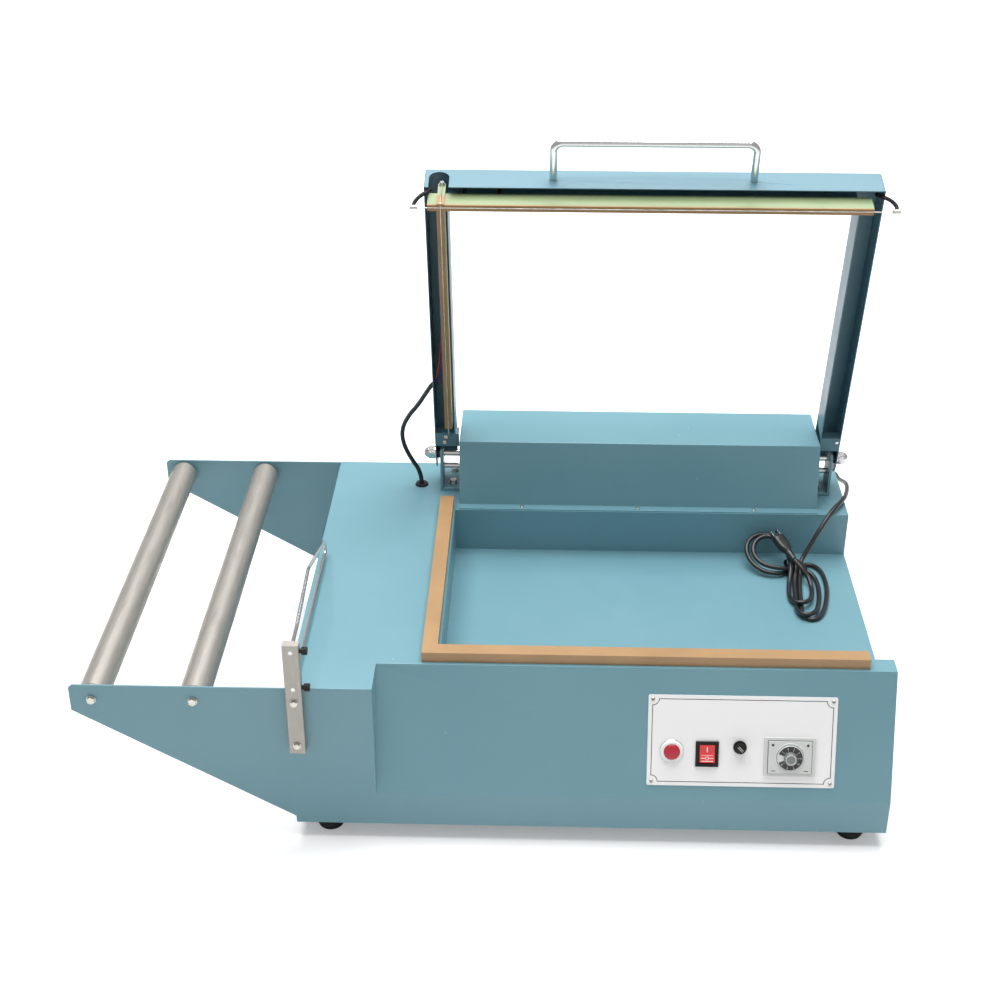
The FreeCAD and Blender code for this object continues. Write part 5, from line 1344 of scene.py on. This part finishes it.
@dataclass
class SealingBars:
    """The two laminate bars under the lid with their tape, wires, clamps, tension arms, leads and handle.

    All lengths are millimetres on the closed lid. A barrel's, screw's or washer's pair is its radius and its
    length, gusset_screw is the levels of those screws' foot and head, and each of GUSSET_SCREWS is an x, a y
    and a radius.
    """

    tip: float = 16.1
    top: float = 43.8
    nose_top: float = 64.0
    web: float = 82.5
    front: tuple[float, float] = (6.3, 14.75)
    left: tuple[float, float] = (8.0, 18.0)
    ends: tuple[float, float] = (-4.0, 564.5)
    nose: float = 4.9
    root: float = 32.0
    rear: float = 383.0
    spacers: tuple[float, float] = (41.7, 87.3)
    spacer: float = 3.6
    tape: float = 0.3
    wrap: float = 1.9
    flap_top: float = 37.0
    wire: float = 0.7
    wire_middle: float = 9.75
    wire_ends: tuple[float, float] = (-16.5, 588.0)
    clamps_at: tuple[float, float] = (-21.5, 593.0)
    clamp_height: float = 16.6
    barrel: tuple[float, float] = (2.9, 10.0)
    clamp_screw: tuple[float, float] = (1.9, 4.9)
    screw_height: float = 62.5
    nose_washer: tuple[float, float] = (4.4, 1.2)
    nose_screw: tuple[float, float] = (3.2, 3.0)
    gusset_screw: tuple[float, float] = (41.0, 38.5)
    sleeve: float = 2.6
    leads_thick: tuple[float, float] = (1.4, 1.3)
    legs: tuple[float, float] = (156.75, 414.75)
    leg_root: float = -5.0
    grip: float = -58.0
    handle_level: float = 62.5
    bend: float = 12.0
    bar: float = 5.0

    LEFT_ARM = (
        (-2, 11, 60), (-4.0, 4, 48), (-5.2, 1.2, 38.7), (-12, 2.5, 34), (-18.5, 6, 28), (-21.5, 9, 24),
        (-21.5, 9.75, 20),
    )
    RIGHT_ARM = (
        (574, 12, 60), (577, 6, 46), (580.4, 2.6, 37.4), (587, 3.6, 33), (592.4, 6.5, 28),
        (594.5, 9, 23.5), (593, 9.75, 20),
    )
    BLUE_LEAD = (
        (6.4, 17.8, 46), (6.2, 90, 45), (5.6, 180, 46.5), (6.0, 260, 46), (4.5, 300, 47), (0, 321, 50),
        (-8, 325, 51),
    )
    RED_LEAD = (
        (6.4, 17.8, 49.2), (6.3, 90, 49), (6.2, 180, 50), (5.0, 255, 48), (0.5, 290, 44.5),
        (-3.5, 312, 46), (-8, 324, 51),
    )
    GUSSET_SCREWS = ((7.0, 419.0, 3.2), (5.0, 429.0, 3.2), (575.0, 420.0, 2.6))

    def build(self) -> None:
        """Makes every piece."""
        self.bars()
        self.tapes()
        self.wires()
        self.clamps()
        self.arms()
        self.leads()
        self.handle()

    def block(
        self, name: str, x: Sequence[float], y: Sequence[float], z: Sequence[float], finish: Finish
    ) -> bpy.types.Object:
        """A block between two places along each axis, as two rows of four corners."""
        corner = [(x[0], y[0]), (x[1], y[0]), (x[1], y[1]), (x[0], y[1])]
        return surface(name, on_lid([[(*c, level) for c in corner] for level in z]), finish, "lid")

    def peg(
        self, name: str, foot: Sequence[float], head: Sequence[float], radius: float, finish: Finish
    ) -> bpy.types.Object:
        """A round pin, its two ends chamfered by a fifth of its radius.

        Args:
            name: The piece's name.
            foot: One end's middle.
            head: The other end's middle.
            radius: Its radius.
            finish: Its finish.

        Returns:
            The piece.
        """
        start, end = on_lid([foot, head])
        along = unit(end - start)
        edge = 0.2 * radius * MM
        path = np.array([start, start + edge * along, end - edge * along, end])
        reach = np.array([0.8, 1.0, 1.0, 0.8]) * radius * MM
        return surface(name, tube(path, reach, (1.0, 0.3, 0.2), 28), finish, "lid")

    def strand(
        self, name: str, points: Sequence[Sequence[float]], radius: float, finish: Finish
    ) -> bpy.types.Object:
        """A round strand along a smooth line through the lid's space."""
        line = smooth_line(name, on_lid(points))
        return surface(name, tube(line, radius * MM, (0.31, 0.87, 0.38), 14), finish, "lid", crease=70)

    def bars(self) -> None:
        """The front bar in two lengths, on spacers under the beam, and the left bar between them."""
        level = (self.tip, self.top)
        first = self.block("bar_front_long", (self.left[1], self.ends[1]), self.front, level, LAMINATE)
        self.block("bar_front_short", (self.ends[0], self.left[0]), self.front, level, LAMINATE)
        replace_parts(first, "seal_bar_front")
        low = (self.tip, self.nose_top)
        second = self.block("bar_left", self.left, (self.nose, self.rear), low, LAMINATE)
        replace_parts(second, "seal_bar_left")
        high = (self.nose_top, self.web)
        self.block("bar_left_root", self.left, (self.root, self.rear), high, LAMINATE)
        middle = sum(self.front) / 2
        for step, x in enumerate(self.spacers):
            foot, head = (x, middle, self.top), (x, middle, self.web)
            self.peg(f"bar_spacer_{step}", foot, head, self.spacer, DARK_STEEL_AND_RECESS_SHADE)

    def tape_run(
        self, name: str, across: Sequence[float], run: Sequence[float], along_x: bool
    ) -> bpy.types.Object:
        """A strip folded over a bar's edge: a U of the tape's thickness carried along the bar.

        Args:
            name: The piece's name.
            across: The bar's two sides.
            run: Where the strip starts and ends.
            along_x: Whether the bar runs along x, else along y.

        Returns:
            The piece.
        """
        low, high = across
        t, top, tip = self.tape, self.tip + self.wrap, self.tip
        section = [(low - t, top), (low - t, tip - t), (high + t, tip - t), (high + t, top),
                   (high, top), (high, tip), (low, tip), (low, top)]
        rows = [[(end, c, z) if along_x else (c, end, z) for c, z in section] for end in run]
        return surface(name, on_lid(rows), SEAL_CLOTH, "lid")

    def tapes(self) -> None:
        """The strips over both bars' edges and the flap over the left bar's nose."""
        t = self.tape
        left_end, right_end = self.left[0] - t, self.left[1] + t
        first = self.tape_run("tape_front_long", self.front, (right_end, self.ends[1]), True)
        self.tape_run("tape_front_short", self.front, (self.ends[0], left_end), True)
        self.tape_run("tape_left", self.left, (self.nose, self.rear), False)
        flap, level = (self.nose - t, self.nose), (self.tip - t, self.flap_top)
        self.block("tape_nose", (left_end, right_end), flap, level, SEAL_CLOTH)
        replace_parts(first, "seal_tapes")

    def wires(self) -> None:
        """The sealing wires: one between its clamps, one from the nose's screw to the left bar's rear."""
        low = self.tip - self.tape - self.wire
        x = sum(self.left) / 2
        face = self.nose - self.tape - self.wire
        front = [(end, self.wire_middle, low) for end in (self.wire_ends[0], 280, self.wire_ends[1])]
        left = [
            (x, face, self.nose_top), (x, face, 22), (x, face, low), (x, face + 6, low - 0.1), (x, 120, low),
            (x, self.rear, low), (x, self.rear + 10, low), (x, 420, 38),
        ]
        first = self.strand("wire_front", front, self.wire, WIRE_SILVER)
        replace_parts(first, "seal_wires")
        self.strand("wire_left", left, self.wire, WIRE_SILVER)

    def clamps(self) -> None:
        """The wires' clamps: a barrel and screw at each side, the nose's screw and the gussets' screws."""
        low, middle = self.clamp_height, self.wire_middle
        barrels = []
        (radius, length), (thread, rise) = self.barrel, self.clamp_screw
        for name, x in zip(("left", "right"), self.clamps_at):
            ends = [(x + side * length / 2, middle, low) for side in (-1, 1)]
            barrels.append(self.peg(f"clamp_{name}", *ends, radius, NICKEL_AND_SLOT_GLINT))
            self.peg(f"clamp_screw_{name}", (x, middle, low), (x, middle, low + rise), thread, NICKEL_AND_SLOT_GLINT)
        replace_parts(barrels[0], "wire_terminals")
        x, z = sum(self.left) / 2, self.screw_height
        (washer, thick), (head, rise) = self.nose_washer, self.nose_screw
        seat = self.nose - thick
        self.peg("nose_washer", (x, self.nose, z), (x, seat, z), washer, NICKEL_AND_SLOT_GLINT)
        self.peg("nose_screw", (x, seat, z), (x, seat - rise, z), head, CHROME)
        for step, (x, y, radius) in enumerate(self.GUSSET_SCREWS):
            ends = [(x, y, level) for level in self.gusset_screw]
            self.peg(f"gusset_screw_{step}", *ends, radius, CHROME)

    def arms(self) -> None:
        """The sleeved springy arms that pull the front wire tight, out of the beam's two ends."""
        first = self.strand("tension_arm_left", self.LEFT_ARM, self.sleeve, RUBBER)
        self.strand("tension_arm_right", self.RIGHT_ARM, self.sleeve, RUBBER)
        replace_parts(first, "tension_arms")

    def leads(self) -> None:
        """The blue and the red lead beside the left bar, from the cable's hole to the beam."""
        first = self.strand("lead_blue", self.BLUE_LEAD, self.leads_thick[0], LEAD_BLUE)
        self.strand("lead_red", self.RED_LEAD, self.leads_thick[1], LEAD_RED)
        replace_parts(first, "arm_leads")

    def handle(self) -> None:
        """The bent round bar: two legs and a grip, joined by quarter circles of the bend's radius."""
        (left, right), bend = self.legs, self.bend
        turn = np.radians(np.linspace(180, 270, 13))
        corner = np.stack(
            [left + bend + bend * np.cos(turn), self.grip + bend + bend * np.sin(turn)], axis=1
        )
        mirror = np.stack([left + right - corner[::-1, 0], corner[::-1, 1]], axis=1)
        flat = np.vstack([[(left, self.leg_root)], corner, mirror, [(right, self.leg_root)]])
        path = on_lid(np.column_stack([flat, np.full(len(flat), self.handle_level)]))
        across = (0.0, math.sin(LID_SWING), math.cos(LID_SWING))
        handle = surface("handle_bar", tube(path, self.bar * MM, across, 28), CHROME, "lid", crease=70)
        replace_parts(handle, "lid_handle")


@dataclass
class TorsionSprings:
    """The two wound springs on the hinge shaft."""

    wire: float = 1.5 * MM
    mean: float = 10.0 * MM
    turns_a_metre: float = 1 / (3.15 * MM)
    steps: int = 24

    def build(self, frame: dict) -> None:
        """Winds each spring where its sleeve stands, as a helix about the shaft.

        Its x goes evenly from end to end, its y and z are the pivot's plus mean times the sine and the cosine
        of the angle.
        """
        pivot = np.array(joint(frame, "lid_hinge")["pos_m"])
        points = node_points(frame, "torsion_springs")
        middle = float(np.mean([points[:, 0].min(), points[:, 0].max()]))
        springs = []
        sleeves = {"spring_left": points[:, 0] < middle, "spring_right": points[:, 0] > middle}
        for name, inside in sleeves.items():
            side = points[inside]
            start, end = side[:, 0].min() + self.wire, side[:, 0].max() - self.wire
            turns = (end - start) * self.turns_a_metre
            angle = np.linspace(0, 2 * math.pi * turns, int(turns * self.steps))
            if name == "spring_right":
                start, end = end, start
            line = np.stack(
                [np.linspace(start, end, len(angle)), pivot[1] + self.mean * np.sin(angle),
                 pivot[2] + self.mean * np.cos(angle)], axis=1,
            )
            grid = tube(line, self.wire, (1.0, 0.0, 0.0), 10)
            springs.append(surface(name, grid, DARK_STEEL_AND_RECESS_SHADE, "base", crease=80))
        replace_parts(springs[0], "torsion_springs")


# ---------------------------------------------------------------- studio
@dataclass
class Studio:
    """Pale floor, plain soft lamps and the camera."""

    eye: tuple[float, float, float] = (0.06345, -1.9104, 1.4170)
    ahead: tuple[float, float, float] = (-0.02522, 0.86958, -0.49314)
    up: tuple[float, float, float] = (-0.0143, 0.49294, 0.86995)
    lens: float = 58.45
    film: float = 36.0
    world_light: float = 0.42
    world_seen: float = 1.0
    floor_side: float = 28.0
    floor_white: float = 0.82
    floor_roughness: float = 0.9
    floor_glow: tuple[float, float] = (0.25, 1.0)
    glow_reach: tuple[float, float] = (1.0, 3.2)

    LAMPS = (
        ("overhead", (0.0, 0.5, 3.2), (0.0, 0.0, 0.0), 3.0, 190.0),
        ("front", (0.4, -3.4, 1.7), (0.0, 0.0, 0.3), 2.4, 4.0),
    )

    def build(self) -> None:
        """Sets the view transform, then makes the world, the floor, the lamps and the camera."""
        bpy.context.scene.view_settings.view_transform = "Standard"
        self.world()
        self.floor()
        for lamp in self.LAMPS:
            self.lamp(*lamp)
        self.camera()

    def shown(self, graph_nodes: bpy.types.Nodes, links: bpy.types.NodeLinks) -> bpy.types.NodeSocket:
        """Adds the nodes that tell which rays are seen.

        Args:
            graph_nodes: The nodes that they join.
            links: The tree's links.

        Returns:
            1 for rays that the camera or a clear piece sends, else 0.
        """
        path = graph_nodes.new("ShaderNodeLightPath")
        either = graph_nodes.new("ShaderNodeMath")
        either.operation = "MAXIMUM"
        links.new(path.outputs["Is Camera Ray"], either.inputs[0])
        links.new(path.outputs["Is Transmission Ray"], either.inputs[1])
        return either.outputs[0]

    def world(self) -> None:
        """A white world: full strength where the camera sees it, softer as light and in reflections."""
        world = bpy.data.worlds.new("studio")
        bpy.context.scene.world = world
        world.use_nodes = True
        nodes, links = world.node_tree.nodes, world.node_tree.links
        background = nodes["Background"]
        background.inputs["Color"].default_value = (1.0, 1.0, 1.0, 1.0)
        strength = nodes.new("ShaderNodeMapRange")
        strength.inputs["To Min"].default_value = self.world_light
        strength.inputs["To Max"].default_value = self.world_seen
        links.new(self.shown(nodes, links), strength.inputs["Value"])
        links.new(strength.outputs["Result"], background.inputs["Strength"])

    def floor(self) -> None:
        """A white floor whose glow only the camera's rays meet: faint below the sealer, full far off."""
        square = np.column_stack([rectangle(self.floor_side, self.floor_side), np.zeros(4)])
        mesh = bpy.data.meshes.new("floor")
        mesh.from_pydata(square.tolist(), [], [(0, 1, 2, 3)])
        graph = Graph("floor_white")
        graph.shader.inputs["Base Color"].default_value = (*[self.floor_white] * 3, 1.0)
        graph.shader.inputs["Roughness"].default_value = self.floor_roughness
        graph.shader.inputs["Specular IOR Level"].default_value = 0.0
        graph.shader.inputs["Emission Color"].default_value = (1.0, 1.0, 1.0, 1.0)
        seen = self.shown(graph.tree.nodes, graph.tree.links)
        reach = graph.node("ShaderNodeVectorMath", operation="LENGTH")
        graph.join(graph.coords, reach.inputs[0])
        glow = graph.spread(reach.outputs["Value"], *self.floor_glow, *self.glow_reach)
        graph.join(graph.times(seen, glow), graph.shader.inputs["Emission Strength"])
        mesh.materials.append(graph.material)
        floor = bpy.data.objects.new("floor", mesh)
        bpy.context.scene.collection.objects.link(floor)

    def lamp(
        self, name: str, place: Sequence[float], aim: Sequence[float], size: float, power: float
    ) -> None:
        """A square soft lamp.

        Args:
            name: Its name.
            place: Where it hangs.
            aim: The point that it faces.
            size: Its side.
            power: Its power in watts.
        """
        data = bpy.data.lights.new(name, "AREA")
        data.shape, data.size, data.energy = "SQUARE", size, power
        lamp = bpy.data.objects.new(name, data)
        lamp.location = place
        lamp.rotation_euler = (Vector(aim) - Vector(place)).to_track_quat("-Z", "Y").to_euler()
        bpy.context.scene.collection.objects.link(lamp)

    def camera(self) -> None:
        """The camera, from its eye point and its ahead and up directions."""
        data = bpy.data.cameras.new("camera")
        data.lens, data.sensor_width = self.lens, self.film
        data.clip_end = 60.0
        camera = bpy.data.objects.new("camera", data)
        ahead, up = Vector(self.ahead).normalized(), Vector(self.up).normalized()
        side = ahead.cross(up)
        turn = Matrix((side, side.cross(ahead), -ahead)).transposed()
        camera.matrix_world = Matrix.Translation(self.eye) @ turn.to_4x4()
        bpy.context.scene.collection.objects.link(camera)
        bpy.context.scene.camera = camera


def dress(frame: dict) -> None:
    """Gives every CAD node its finish.
    """
    for finish, names in NODE_FINISHES.items():
        for name in names:
            node = frame["nodes"][name]
            for place in node.material_slots:
                place.material = finish.material()


def corners(box: Iterable[Vector]) -> list[list[float]]:
    """A box's two corners as plain lists."""
    return [list(map(float, corner)) for corner in box]


def main() -> None:
    """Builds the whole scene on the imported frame."""
    logging.basicConfig(level=logging.INFO, format="%(message)s")
    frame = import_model()
    Studio().build()
    MainsCord().build()
    ArmCable().build()
    dress(frame)
    Casing().build(frame)
    SealingBars().build()
    ControlPanel().build(frame)
    TorsionSprings().build(frame)


if __name__ == "__main__":
    main()
